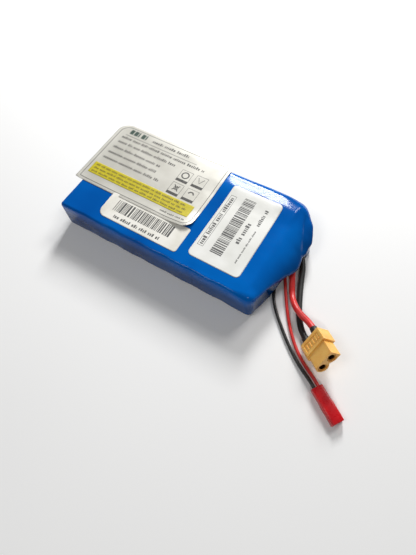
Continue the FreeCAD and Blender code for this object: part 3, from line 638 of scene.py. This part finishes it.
def relax(verts, faces):
    """Smooths the hood in place, and evens out the rim of its mouth."""
    edges = {}
    for face in faces:
        for a, b in zip(face, face[1:] + face[:1]):
            key = (min(a, b), max(a, b))
            edges[key] = edges.get(key, 0) + 1
    near = {}
    rim = {}
    for (a, b), count in edges.items():
        near.setdefault(a, []).append(b)
        near.setdefault(b, []).append(a)
        if count == 1:
            rim.setdefault(a, []).append(b)
            rim.setdefault(b, []).append(a)
    moving = [n for n in near if n in rim or verts[n].x > ROUND_START_X + 0.6]
    for _ in range(RELAX_ROUNDS):
        moved = {}
        for n in moving:
            around = rim.get(n, near[n])
            middle = sum((verts[m] for m in around), Vector()) / len(around)
            share = 0.5 if n in rim else 0.35 * smooth(60, 66, verts[n].x)
            moved[n] = verts[n].lerp(middle, share)
            if verts[n].z < 0.05:
                moved[n].z = verts[n].z
        for n, point in moved.items():
            verts[n] = point


def spaced(low, high, step, fine=(), fine_step=0.4):
    """Places from low to high, closer together inside the fine ranges."""
    places = [low]
    while places[-1] < high - 1e-6:
        here = places[-1]
        inside = any(a <= here < b for a, b in fine)
        following = here + (fine_step if inside else step)
        places.append(min([high, following] + [a for a, b in fine if a > here]))
    if len(places) > 2 and places[-1] - places[-2] < fine_step / 3:
        places.pop(-2)
    return places


def make_film():
    """Film mesh: a finely divided box wrapped round the body and out into the hood."""
    xs = spaced(-HALF_X, HALF_X, 1.1, [(-HALF_X, -HALF_X + 5), (HALF_X - 9, HALF_X)], 0.45)
    ys = spaced(-HALF_Y, HALF_Y, 1.0, [(-HALF_Y, -HALF_Y + 5), (-20.0, -6.0),
                                       (26, HALF_Y)], 0.45)
    zs = spaced(0, TOP_Z, 0.5)
    last = (len(xs) - 1, len(ys) - 1, len(zs) - 1)
    verts = []
    travels = []
    index = {}

    def corner(i, j, k):
        if (i, j, k) not in index:
            index[i, j, k] = len(verts)
            point, travel = film_point(xs[i], ys[j], zs[k], k == 0 and i < last[0])
            verts.append(point)
            travels.append(travel)
        return index[i, j, k]

    faces = []

    def sheet(count_a, count_b, place, keep=lambda a, b: True):
        for a in range(count_a):
            for b in range(count_b):
                if keep(a, b):
                    faces.append([corner(*place(a, b)), corner(*place(a + 1, b)),
                                  corner(*place(a + 1, b + 1)), corner(*place(a, b + 1))])

    def kept(x, j, z, on_bottom):
        middle = (ys[j] + ys[j + 1]) / 2
        travel = film_point(x, middle, z, on_bottom)[1]
        return not in_mouth(middle, travel, on_bottom)

    sheet(last[0], last[1], lambda a, b: (a, b, last[2]))
    sheet(last[0], last[1], lambda a, b: (a, b, 0),
          lambda i, j: kept((xs[i] + xs[i + 1]) / 2, j, 0, True))
    sheet(last[0], last[2], lambda a, b: (a, 0, b))
    sheet(last[0], last[2], lambda a, b: (a, last[1], b))
    sheet(last[1], last[2], lambda a, b: (0, a, b))
    sheet(last[1], last[2], lambda a, b: (last[0], a, b),
          lambda j, k: kept(HALF_X, j, (zs[k] + zs[k + 1]) / 2, False))
    relax(verts, faces)
    film = piece("sleeve_film", verts, faces, FILM)
    thickness = film.modifiers.new("film_thickness", "SOLIDIFY")
    thickness.thickness = FILM_THICKNESS * MM
    thickness.offset = -1.0
    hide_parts("shrink_sleeve")


# Foam pads inside the long sides, shaped to the film's waves

def make_foam(name, sign, node):
    """Pad between one side's wiring and the film."""
    low, high = box_mm(node)
    inner = min(abs(low.y), abs(high.y))
    columns = spaced(low.x, high.x, 1.6)
    rows = spaced(2.6, TOP_Z - 2.6, 1.2)
    outer_side = []
    inner_side = []
    for x in columns:
        for z in rows:
            film_y = abs(wrapped(x, sign * HALF_Y, z)[0].y)
            outer_side.append((x, sign * max(inner + 0.15, film_y - 0.32), z))
            inner_side.append((x, sign * inner, z))
    made = slab(name, outer_side, inner_side, len(columns), len(rows), FOAM)
    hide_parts(node)


def slab(name, front, back, columns, rows, material):
    """Closed sheet between two grids of points, each columns times rows."""
    count = len(front)
    faces = []
    for a in range(columns - 1):
        for b in range(rows - 1):
            here = a * rows + b
            quad = [here, here + rows, here + rows + 1, here + 1]
            faces.append(quad)
            faces.append([count + n for n in reversed(quad)])
    rim = [a * rows for a in range(columns)]
    rim += [(columns - 1) * rows + b for b in range(1, rows)]
    rim += [a * rows + rows - 1 for a in range(columns - 2, -1, -1)]
    rim += [b for b in range(rows - 2, 0, -1)]
    for here, following in zip(rim, rim[1:] + rim[:1]):
        faces.append([here, following, count + following, count + here])
    return piece(name, front + back, faces, material)


# Labels and their printing

LABEL_THICKNESS = 0.12
INK_THICKNESS = 0.04
GRID_STEP = 0.9
CORNER_STEP = 0.6
BORDER_INSET = 2.0


def product_height(x, y):
    """Underside of the large label: flat, loose at one corner, bent down past the back."""
    height = TOP_Z + top_bulge(min(12.0, max(-62.0, x)), min(25.0, y)) + 0.02
    height += 0.16 * (1 - smooth(-12.5, -9.0, y))
    height -= 0.008 * max(0.0, y - 31.0) ** 2
    height += 0.010 * max(0.0, -62.0 - x) ** 2
    corner = math.hypot((x - 12.9) * 0.8, y + 14.3)
    height += 1.9 * (1 - smooth(0.0, 16.0, corner)) ** 1.2
    return height + 0.10 * rough_noise(x, y, 4.0, 16)


def serial_height(x, y):
    """Underside of the label near the leads."""
    corner = math.hypot(x - 52.5, y - 26.6)
    lift = 0.5 * (1 - smooth(0.0, 7.0, corner))
    return TOP_Z + top_bulge(x, y) + 0.02 + lift


def barcode_height(x, y):
    """Underside of the narrow label, creased and lifted at its closed end."""
    lift = 0.55 * (1 - smooth(-41.0, -36.5, x)) + 0.25 * math.exp(-((x + 37.4) / 0.7) ** 2)
    crinkle = 0.16 * rough_noise(x, y, 2.0, 3.0) * (1 - smooth(-36, -30, x))
    return TOP_Z + top_bulge(x, y) + 0.04 + lift * smooth(-31, -24, y) + max(0.0, crinkle)


def rounded_corner(x, y, low, high, radii):
    """Moves a point in a sheet's corner square so that the square's rim becomes an arc."""
    sign_x = 1 if x > (low.x + high.x) / 2 else -1
    sign_y = 1 if y > (low.y + high.y) / 2 else -1
    radius = radii.get((sign_x, sign_y), 0.3)
    core_x = (high.x if sign_x > 0 else low.x) - sign_x * radius
    core_y = (high.y if sign_y > 0 else low.y) - sign_y * radius
    a = max(0.0, (x - core_x) * sign_x) / radius
    b = max(0.0, (y - core_y) * sign_y) / radius
    if a <= 0 or b <= 0:
        return x, y
    scale = max(a, b) / math.hypot(a, b)
    return core_x + sign_x * a * scale * radius, core_y + sign_y * b * scale * radius


def make_sheet(name, low, high, radii, height, thickness, material):
    """Thin closed sheet with rounded corners that follows a height."""
    reach = max(radii.values())

    def lines(start, end):
        corners = [(start, start + reach), (end - reach, end)]
        return spaced(start, end, GRID_STEP, corners, CORNER_STEP)

    columns = lines(low.x, high.x)
    rows = lines(low.y, high.y)
    top = []
    under = []
    for x in columns:
        for y in rows:
            px, py = rounded_corner(x, y, low, high, radii)
            base = height(px, py)
            top.append((px, py, base + thickness))
            under.append((px, py, base))
    return slab(name, top, under, len(columns), len(rows), material)


class Printing:
    """Flat printed marks on a label: bars, lines and rows of dashes in place of words."""

    def __init__(self, height, seed):
        self.height = height
        self.random = random.Random(seed)
        self.verts = []
        self.faces = []

    def ribbon(self, left, right, closed=False):
        """Thin closed strip between two lines of points."""
        count = len(left)
        first = len(self.verts)
        for x, y in left + right:
            base = self.height(x, y) - INK_THICKNESS / 3
            self.verts.append((x, y, base))
            self.verts.append((x, y, base + INK_THICKNESS))
        for n in range(count if closed else count - 1):
            a = first + 2 * n
            b = first + 2 * ((n + 1) % count)
            c = a + 2 * count
            d = b + 2 * count
            self.faces += [[a, b, d, c], [a + 1, c + 1, d + 1, b + 1],
                           [a, a + 1, b + 1, b], [c, d, d + 1, c + 1]]
        if not closed:
            for n in (0, count - 1):
                a = first + 2 * n
                c = a + 2 * count
                self.faces.append([a, c, c + 1, a + 1])

    def bar(self, x0, x1, y0, y1):
        """Filled rectangle."""
        steps = max(1, round((x1 - x0) / GRID_STEP))
        xs = [lerp(x0, x1, n / steps) for n in range(steps + 1)]
        rows = max(1, round((y1 - y0) / (2 * GRID_STEP)))
        ys = [lerp(y0, y1, n / rows) for n in range(rows + 1)]
        for low, high in zip(ys, ys[1:]):
            self.ribbon([(x, low) for x in xs], [(x, high) for x in xs])

    def path(self, points, width, closed=False):
        """Line of even width through points."""
        left = []
        right = []
        for n, (x, y) in enumerate(points):
            before = points[n - 1] if n or closed else points[n]
            after = points[(n + 1) % len(points)] if n + 1 < len(points) or closed else points[n]
            run = Vector((after[0] - before[0], after[1] - before[1])).normalized()
            left.append((x - run.y * width / 2, y + run.x * width / 2))
            right.append((x + run.y * width / 2, y - run.x * width / 2))
        self.ribbon(left, right, closed)

    def ring(self, x, y, radius, width):
        """Circle drawn with a line."""
        self.path(circle(x, y, radius, 28), width, True)

    def box(self, x0, x1, y0, y1, width):
        """Outline of a rectangle."""
        self.bar(x0, x1, y0, y0 + width)
        self.bar(x0, x1, y1 - width, y1)
        self.bar(x0, x0 + width, y0 + width, y1 - width)
        self.bar(x1 - width, x1, y0 + width, y1 - width)

    def block(self, start, end, low, high, turned):
        """Bar from start to end of a row; a turned row runs along y."""
        if turned:
            self.bar(-high, -low, start, end)
        else:
            self.bar(start, end, low, high)

    def dashes(self, start, end, middle, size, turned=False):
        """Row of small blocks in word-like groups, standing in for a line of text."""
        here = start
        while here < end - size * 0.4:
            for _ in range(self.random.randint(3, 8)):
                width = size * self.random.uniform(0.16, 0.42)
                if here + width > end:
                    return
                low = middle - size * 0.34
                high = middle + size * (0.42 if self.random.random() < 0.3 else 0.24)
                self.block(here, here + width, low, high, turned)
                here += width + size * 0.17
            here += size * 0.42

    def stripes(self, start, end, low, high, narrow, turned=False):
        """Run of bars with uneven widths and gaps."""
        here = start
        while here < end:
            width = narrow * self.random.choice([1, 1, 2, 2, 3])
            gap = narrow * self.random.choice([1, 1, 1, 2])
            self.block(here, min(end, here + width), low, high, turned)
            here += width + gap

    def finish(self, name, material):
        """Makes the piece from all marks so far."""
        piece(name, self.verts, self.faces, material, smooth_faces=False)


def above(height, thickness):
    """Height of the face on top of a sheet."""
    return lambda x, y: height(x, y) + thickness


def make_label(name, node, radii, height, material, tucked=0.0):
    """Label in its CAD node's place, longer by what is tucked under another; its corners."""
    low, high = box_mm(node)
    high.y += tucked
    sheet = make_sheet(name, low, high, radii, height, LABEL_THICKNESS, material)
    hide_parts(node)
    return low, high


def make_product_label():
    """Large label: border, title, five rows, four framed marks and a yellow strip."""
    radii = {(-1, 1): 8.0, (1, -1): 6.5, (1, 1): 0.8, (-1, -1): 0.8}
    low, high = make_label("product_sheet", "product_label", radii, product_height,
                           SILVER_LABEL)
    face = above(product_height, LABEL_THICKNESS)
    dark = Printing(face, 11)
    inner_low = Vector((low.x + BORDER_INSET, low.y + BORDER_INSET))
    inner_high = Vector((high.x - BORDER_INSET, high.y - BORDER_INSET))
    inner_radii = {corner: max(0.5, radius - BORDER_INSET) for corner, radius in radii.items()}
    xs = spaced(inner_low.x, inner_high.x, GRID_STEP)
    ys = spaced(inner_low.y, inner_high.y, GRID_STEP)
    rim = [(x, inner_low.y) for x in xs] + [(inner_high.x, y) for y in ys[1:]]
    rim += [(x, inner_high.y) for x in reversed(xs[:-1])]
    rim += [(inner_low.x, y) for y in reversed(ys[1:-1])]
    rim = [rounded_corner(x, y, inner_low, inner_high, inner_radii) for x, y in rim]
    dark.path(rim, 0.32, True)
    pale = Printing(face, 12)
    pale.bar(-63.0, -8.5, 28.9, 29.2)
    pale.dashes(-43.5, -16.0, 32.2, 2.9)
    for start, end, y in ((-64.0, -0.8, 26.6), (-63.8, -19.5, 22.2), (-64.0, -26.8, 17.2),
                          (-64.2, -25.6, 12.2), (-64.4, -21.1, 7.2)):
        pale.dashes(start, end, y, 2.7)
    for x, y in ((-13.9, 14.6), (-3.4, 15.0), (-13.9, 4.0), (-3.3, 4.1)):
        pale.box(x, x + 7.9, y, y + 7.6, 0.22)
        dark.bar(x, x + 7.9, y - 1.5, y + 0.4)
    dark.ring(-9.9, 18.6, 2.2, 0.8)
    dark.path([(-1.6, 21.0), (0.5, 17.2), (2.6, 21.0)], 0.45)
    dark.path([(-11.8, 10.0), (-8.0, 6.0)], 0.6)
    dark.path([(-11.8, 6.0), (-8.0, 10.0)], 0.6)
    dark.ring(-9.9, 8.0, 1.3, 0.4)
    dark.path([(-1.4, 8.2), (-0.3, 9.6), (1.2, 9.6), (2.3, 8.2)], 0.9)
    dark.dashes(-9.3, 7.5, -9.9, 1.5)
    title = Printing(face, 13)
    for start, width in ((0.0, 2.6), (3.2, 2.7), (6.4, 0.9), (8.9, 2.6), (12.1, 0.9)):
        x = -61.5 + start
        title.bar(x, x + width, 30.8, 34.6)
    band_height = above(face, 0.002)
    make_sheet("yellow_strip", Vector((-65.8, -7.4)), Vector((7.6, 1.5)),
               dict.fromkeys(radii, 0.5), band_height, INK_THICKNESS, YELLOW_INK)
    note = Printing(above(band_height, INK_THICKNESS), 14)
    for start, end, y in ((-63.8, 3.0, -0.3), (-63.9, 4.6, -2.9), (-64.0, 3.2, -5.5)):
        note.dashes(start, end, y, 1.9)
    dark.finish("product_print_dark", DARK_INK)
    pale.finish("product_print_grey", PALE_INK)
    title.finish("product_title", GREEN_INK)
    note.finish("strip_print", NOTE_INK)


def make_serial_label():
    """White label near the leads: a framed row, a barcode and three short rows."""
    radii = {(-1, 1): 1.6, (1, 1): 3.2, (-1, -1): 3.0, (1, -1): 2.6}
    make_label("serial_sheet", "serial_label", radii, serial_height, WHITE_LABEL)
    marks = Printing(above(serial_height, LABEL_THICKNESS), 21)
    marks.box(21.9, 25.6, -18.9, 19.4, 0.22)
    marks.dashes(-17.8, 18.4, -23.7, 3.0, turned=True)
    marks.stripes(-19.6, 21.2, -37.6, -30.4, 0.36, turned=True)
    marks.dashes(-8.2, 9.8, -41.0, 3.4, turned=True)
    marks.dashes(7.4, 19.4, -45.6, 2.8, turned=True)
    marks.dashes(-19.4, 3.8, -46.3, 1.3, turned=True)
    marks.finish("serial_print", BAR_INK)


def make_barcode_label():
    """Narrow white label at the front edge, tucked under the large one."""
    radii = {(-1, 1): 1.5, (1, 1): 1.5, (-1, -1): 4.5, (1, -1): 1.6}
    make_label("barcode_sheet", "barcode_label", radii, barcode_height, PAPER_LABEL,
               tucked=1.8)
    marks = Printing(above(barcode_height, LABEL_THICKNESS), 31)
    marks.stripes(-33.9, 5.5, -23.6, -15.6, 0.42)
    marks.dashes(-30.4, 1.5, -26.9, 2.7)
    marks.finish("barcode_print", BAR_INK)


# Connector, plug and shrink tubes

def posed_piece(name, solid, pose, material, bevel):
    """A piece from a mesh in local millimetres, put in its pose."""
    verts = [pose @ v.co for v in solid.vertices]
    faces = [list(face.vertices) for face in solid.polygons]
    bpy.data.meshes.remove(solid)
    return piece(name, verts, faces, material, bevel=bevel)


def prism(outline, z0, z1):
    """Solid between two heights over an outline."""
    builder = bmesh.new()
    near = [builder.verts.new((x, y, z0)) for x, y in outline]
    far = [builder.verts.new((x, y, z1)) for x, y in outline]
    builder.faces.new(list(reversed(near)))
    builder.faces.new(far)
    for n in range(len(outline)):
        following = (n + 1) % len(outline)
        builder.faces.new([near[n], near[following], far[following], far[n]])
    return builder


def circle(x, y, radius, sides):
    """Points of a circle."""
    turn = [2 * math.pi * n / sides for n in range(sides)]
    return [(x + radius * math.cos(t), y + radius * math.sin(t)) for t in turn]


def rectangle(x0, x1, y0, y1):
    """Outline of a rectangle."""
    return [(x0, y0), (x1, y0), (x1, y1), (x0, y1)]


def combined(first, steps):
    """Mesh of the first solid after each (operation, solid) step."""
    def as_object(builder):
        mesh = bpy.data.meshes.new("scratch")
        bmesh.ops.recalc_face_normals(builder, faces=builder.faces)
        builder.to_mesh(mesh)
        builder.free()
        return add_object("scratch", mesh)

    base = as_object(first)
    tools = []
    for operation, builder in steps:
        tool = as_object(builder)
        modifier = base.modifiers.new("step", "BOOLEAN")
        modifier.operation = operation
        modifier.solver = "EXACT"
        modifier.object = tool
        tools.append(tool)
    graph = bpy.context.evaluated_depsgraph_get()
    result = bpy.data.meshes.new_from_object(base.evaluated_get(graph))
    for made in [base, *tools]:
        bpy.data.objects.remove(made)
    return result


COLLAR_X = 8.05
COLLAR_Y = 4.05
COLLAR_Z = 7.8
NOSE_X = 6.9
NOSE_Y = 3.3
NOSE_END = 16.0
POLE_X = 3.6
BORE_RADIUS = 2.3
BORE_FLARE = 0.3
BORE_SIDES = 48
BORE_MIDDLE = 8.75


def connector_pose():
    """Pose of the power connector, from the axes of its two bores in the record."""
    mounts = {mount["name"]: mount for mount in frame["record"]["mounts"]}
    positive = Vector(mounts["positive_bore"]["pos_m"]) / MM
    negative = Vector(mounts["negative_bore"]["pos_m"]) / MM
    out = Vector(mounts["positive_bore"]["axis"]).normalized()
    wide = (positive - negative).normalized()
    pose = Matrix((wide, out.cross(wide), out)).transposed().to_4x4()
    pose.translation = (positive + negative) / 2 - out * BORE_MIDDLE
    return pose


def nose_outline():
    """Section of the nose: flat above, two lobes with a valley between them below."""
    lobes = [(-POLE_X + NOSE_Y * math.cos(t), NOSE_Y * math.sin(t))
             for t in [math.radians(180 + 12 * n) for n in range(11)]]
    lobes.append((0.0, -1.7))
    lobes += [(POLE_X + NOSE_Y * math.cos(t), NOSE_Y * math.sin(t))
              for t in [math.radians(240 + 10 * n) for n in range(4)]]
    flat = [(NOSE_X, -NOSE_Y), (NOSE_X, NOSE_Y), (-NOSE_X + 1.9, NOSE_Y),
            (-NOSE_X, NOSE_Y - 1.9)]
    return lobes + flat


def make_housing(pose):
    """Amber connector body: collar with framed panels and ribs, and a lobed nose."""
    cut = 2.4
    collar = [(-COLLAR_X + cut, -COLLAR_Y), (COLLAR_X, -COLLAR_Y), (COLLAR_X, COLLAR_Y),
              (-COLLAR_X + cut, COLLAR_Y), (-COLLAR_X, COLLAR_Y - cut),
              (-COLLAR_X, -COLLAR_Y + cut)]
    steps = [("UNION", prism(nose_outline(), COLLAR_Z - 0.5, NOSE_END))]
    for side in (1, -1):
        depth = sorted((side * (COLLAR_Y - 0.4), side * (COLLAR_Y + 1.0)))
        steps.append(("DIFFERENCE", prism(rectangle(-4.6, 6.6, *depth), 1.5, 6.4)))
        rib_depth = sorted((side * (COLLAR_Y - 0.6), side * (COLLAR_Y - 0.08)))
        for x in (-2.9, -0.7, 1.5, 3.7, 5.4):
            rib = prism(rectangle(x - 0.35, x + 0.35, *rib_depth), 2.5, 5.4)
            steps.append(("UNION", rib))
    for x in (POLE_X, -POLE_X):
        bore = circle(x, 0, BORE_RADIUS, BORE_SIDES)
        steps.append(("DIFFERENCE", prism(bore, -1.0, NOSE_END + 1.0)))
        rim = circle(x, 0, BORE_RADIUS + BORE_FLARE, BORE_SIDES)
        steps.append(("DIFFERENCE", prism(rim, 15.3, NOSE_END + 1.0)))
    solid = combined(prism(collar, 0.0, COLLAR_Z), steps)
    made = posed_piece("connector_body", solid, pose, NYLON, 0.22)
    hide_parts("connector_housing")
    return made


BOOT_LENGTH = 4.8
BOOT_RADIUS = 2.08
BOOT_BORE = 1.79


def make_boot(name, x, node, pose, seed):
    """Black tube shrunk over a solder cup and the end of its lead."""
    rows = 22
    sides = 40
    outer = []
    inner = []
    for row in range(rows + 1):
        z = -BOOT_LENGTH + BOOT_LENGTH * row / rows
        swell = 0.10 * math.exp(-((z + 2.6) / 0.8) ** 2) - 0.12 * smooth(-3.6, -4.8, z)
        for side in range(sides):
            turn = 2 * math.pi * side / sides
            uneven = 0.05 * rough_noise(3 * math.cos(turn), 3 * math.sin(turn), z + seed, 1.2)
            radius = BOOT_RADIUS + swell + uneven
            outer.append(pose @ Vector((x + radius * math.cos(turn), radius * math.sin(turn), z)))
            inner.append(pose @ Vector((x + BOOT_BORE * math.cos(turn), BOOT_BORE * math.sin(turn), z)))
    count = len(outer)
    faces = []
    for row in range(rows + 1):
        for side in range(sides):
            a = row * sides + side
            b = row * sides + (side + 1) % sides
            if row in (0, rows):
                faces.append([a, b, count + b, count + a])
            if row < rows:
                faces.append([a, b, b + sides, a + sides])
                faces.append([count + a, count + a + sides, count + b + sides, count + b])
    made = piece(name, outer + inner, faces, BOOT)
    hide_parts(node)
    return made


PLUG_REAR = Vector((112.2, -52.4, 0.0))
PLUG_TURN = -33.2
PLUG_LENGTH = 19.4
PLUG_HEIGHT = 4.5
# Each section of the plug: its place, half its width and its height
PLUG_SECTIONS = [
    (0.0, 3.00, 4.00), (0.4, 3.10, 4.20), (8.2, 3.10, 4.25), (9.4, 3.30, 4.45), (14.0, 3.30, 4.50),
    (18.9, 3.30, 4.45), (PLUG_LENGTH, 3.15, 4.30),
]


def plug_outline(half, height):
    """Section of the plug: a rectangle with rounded upper and softer lower corners."""
    outline = []
    for turn, radius, side, middle in ((0, 1.0, 1, height - 1.0), (90, 1.0, -1, height - 1.0),
                                       (180, 0.4, -1, 0.4), (270, 0.4, 1, 0.4)):
        for n in range(6):
            angle = math.radians(turn + 18 * n)
            outline.append((side * (half - radius) + radius * math.cos(angle),
                            middle + radius * math.sin(angle)))
    return outline


def make_plug():
    """Red charge plug: slim tail that widens into the head, with two cavities in its end."""
    along_x = Matrix(((0, 0, 1, 0), (1, 0, 0, 0), (0, 1, 0, 0), (0, 0, 0, 1)))
    pose = Matrix.Translation(PLUG_REAR) @ Matrix.Rotation(math.radians(PLUG_TURN), 4, "Z")
    builder = bmesh.new()
    rings = []
    for place, half, height in PLUG_SECTIONS:
        rings.append([builder.verts.new((x, y, place)) for x, y in plug_outline(half, height)])
    for ring, following in zip(rings, rings[1:]):
        for n, vertex in enumerate(ring):
            other = (n + 1) % len(ring)
            builder.faces.new([vertex, ring[other], following[other], following[n]])
    builder.faces.new(list(reversed(rings[0])))
    builder.faces.new(rings[-1])
    steps = []
    middle = PLUG_HEIGHT / 2
    for y in (1.25, -1.25):
        cavity = rectangle(y - 0.95, y + 0.95, middle - 1.1, middle + 1.1)
        steps.append(("DIFFERENCE", prism(cavity, PLUG_LENGTH - 9.0, PLUG_LENGTH + 1)))
    solid = combined(builder, steps)
    made = posed_piece("charge_plug", solid, pose @ along_x, RED_PLASTIC, 0.12)
    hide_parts("plug_housing")
    return made


# CAD nodes that keep their own shape

def cad_materials():
    """Materials of the CAD nodes that keep their own shape."""
    plain = {
        "yellow_glass_board": ((0.42, 0.40, 0.20), (0.55, 0.52, 0.30), 1.2, (0.45, 0.6), 0.02),
        "grey_fish_paper": ((0.16, 0.17, 0.17), (0.24, 0.25, 0.25), 2.5, (0.7, 0.85), 0.03),
        "green_cell_wrap": ((0.02, 0.20, 0.10), (0.03, 0.27, 0.14), 9.0, (0.25, 0.4), 0.02),
        "white_gasket": ((0.62, 0.62, 0.60), (0.74, 0.74, 0.72), 1.5, (0.4, 0.55), 0.01),
        "black_chip_resin": ((0.012, 0.012, 0.013), (0.028, 0.028, 0.03), 0.6, (0.45, 0.62),
                             0.01),
        "dark_ceramic": ((0.02, 0.025, 0.03), (0.06, 0.065, 0.07), 0.5, (0.3, 0.45), 0.01),
    }
    glass, paper, wrap, gasket, chip, ceramic = [plain_paint(name, *look).material
                                                 for name, look in plain.items()]
    steel = metal_paint("nickel_plated_steel", (0.50, 0.50, 0.50), (0.66, 0.66, 0.65),
                        (0.22, 0.36), 3.0, (1, 0.15, 1))
    nickel = metal_paint("nickel_strip", (0.56, 0.54, 0.50), (0.72, 0.70, 0.66), (0.25, 0.4),
                         1.6, (0.2, 1, 1))
    solder = metal_paint("solder", (0.50, 0.50, 0.50), (0.70, 0.70, 0.71), (0.2, 0.4), 0.8)
    sense = wire_paint("white_wire_skin", (0.55, 0.55, 0.53), (0.68, 0.68, 0.66))
    rolled = rolled_paint()
    named = {
        "cell_caps": steel, "cap_gaskets": gasket, "positive_tab": nickel,
        "negative_tab": nickel, "sense_wires_back": sense, "sense_wires_front": sense,
        "top_board": glass, "bottom_board": glass, "end_board": paper, "front_card": paper,
        "back_card": paper, "bms_board": board_paint(), "bms_mosfets": chip,
        "bms_controller": chip, "bms_resistors": ceramic, "solder_joints": solder,
        "positive_socket": GOLD, "negative_socket": GOLD, "plug_contacts": TINNED,
    }
    for number in range(1, CELL_COUNT + 1):
        named[f"cell_can_{number}"] = steel
        named[f"electrode_roll_{number}"] = rolled
        named[f"cell_wrap_{number}"] = wrap
    for number in range(1, CELL_COUNT):
        named[f"nickel_link_{number}"] = nickel
    return named


def dress_cad_nodes():
    """Gives each shown CAD node its material."""
    for name, material in cad_materials().items():
        slots = frame["nodes"][name].material_slots
        if not slots:
            frame["nodes"][name].data.materials.append(material)
        for held in slots:
            held.material = material


def add_leads(plug):
    """The four leads, running out to the pieces on their far ends."""
    add_lead("power_wire_red", POWER_RED_POINTS, POWER_DIAMETER,
             RED_WIRE)
    add_lead("power_wire_black", POWER_BLACK_POINTS, POWER_DIAMETER,
             BLACK_WIRE)
    add_lead("charge_wire_red", CHARGE_RED_POINTS, CHARGE_DIAMETER,
             RED_WIRE)
    add_lead("charge_wire_black", CHARGE_BLACK_POINTS, CHARGE_DIAMETER,
             BLACK_WIRE)


def build():
    """Everything, the camera and leads first."""
    add_camera()
    pose = connector_pose()
    housing = make_housing(pose)
    boots = [make_boot("boot_red_side", POLE_X, "positive_boot", pose, 1.0),
             make_boot("boot_black_side", -POLE_X, "negative_boot", pose, 5.0)]
    add_leads(make_plug())
    add_studio()
    make_film()
    make_foam("front_pad", -1, "front_foam")
    make_foam("back_pad", 1, "back_foam")
    make_product_label()
    make_serial_label()
    make_barcode_label()
    dress_cad_nodes()


build()
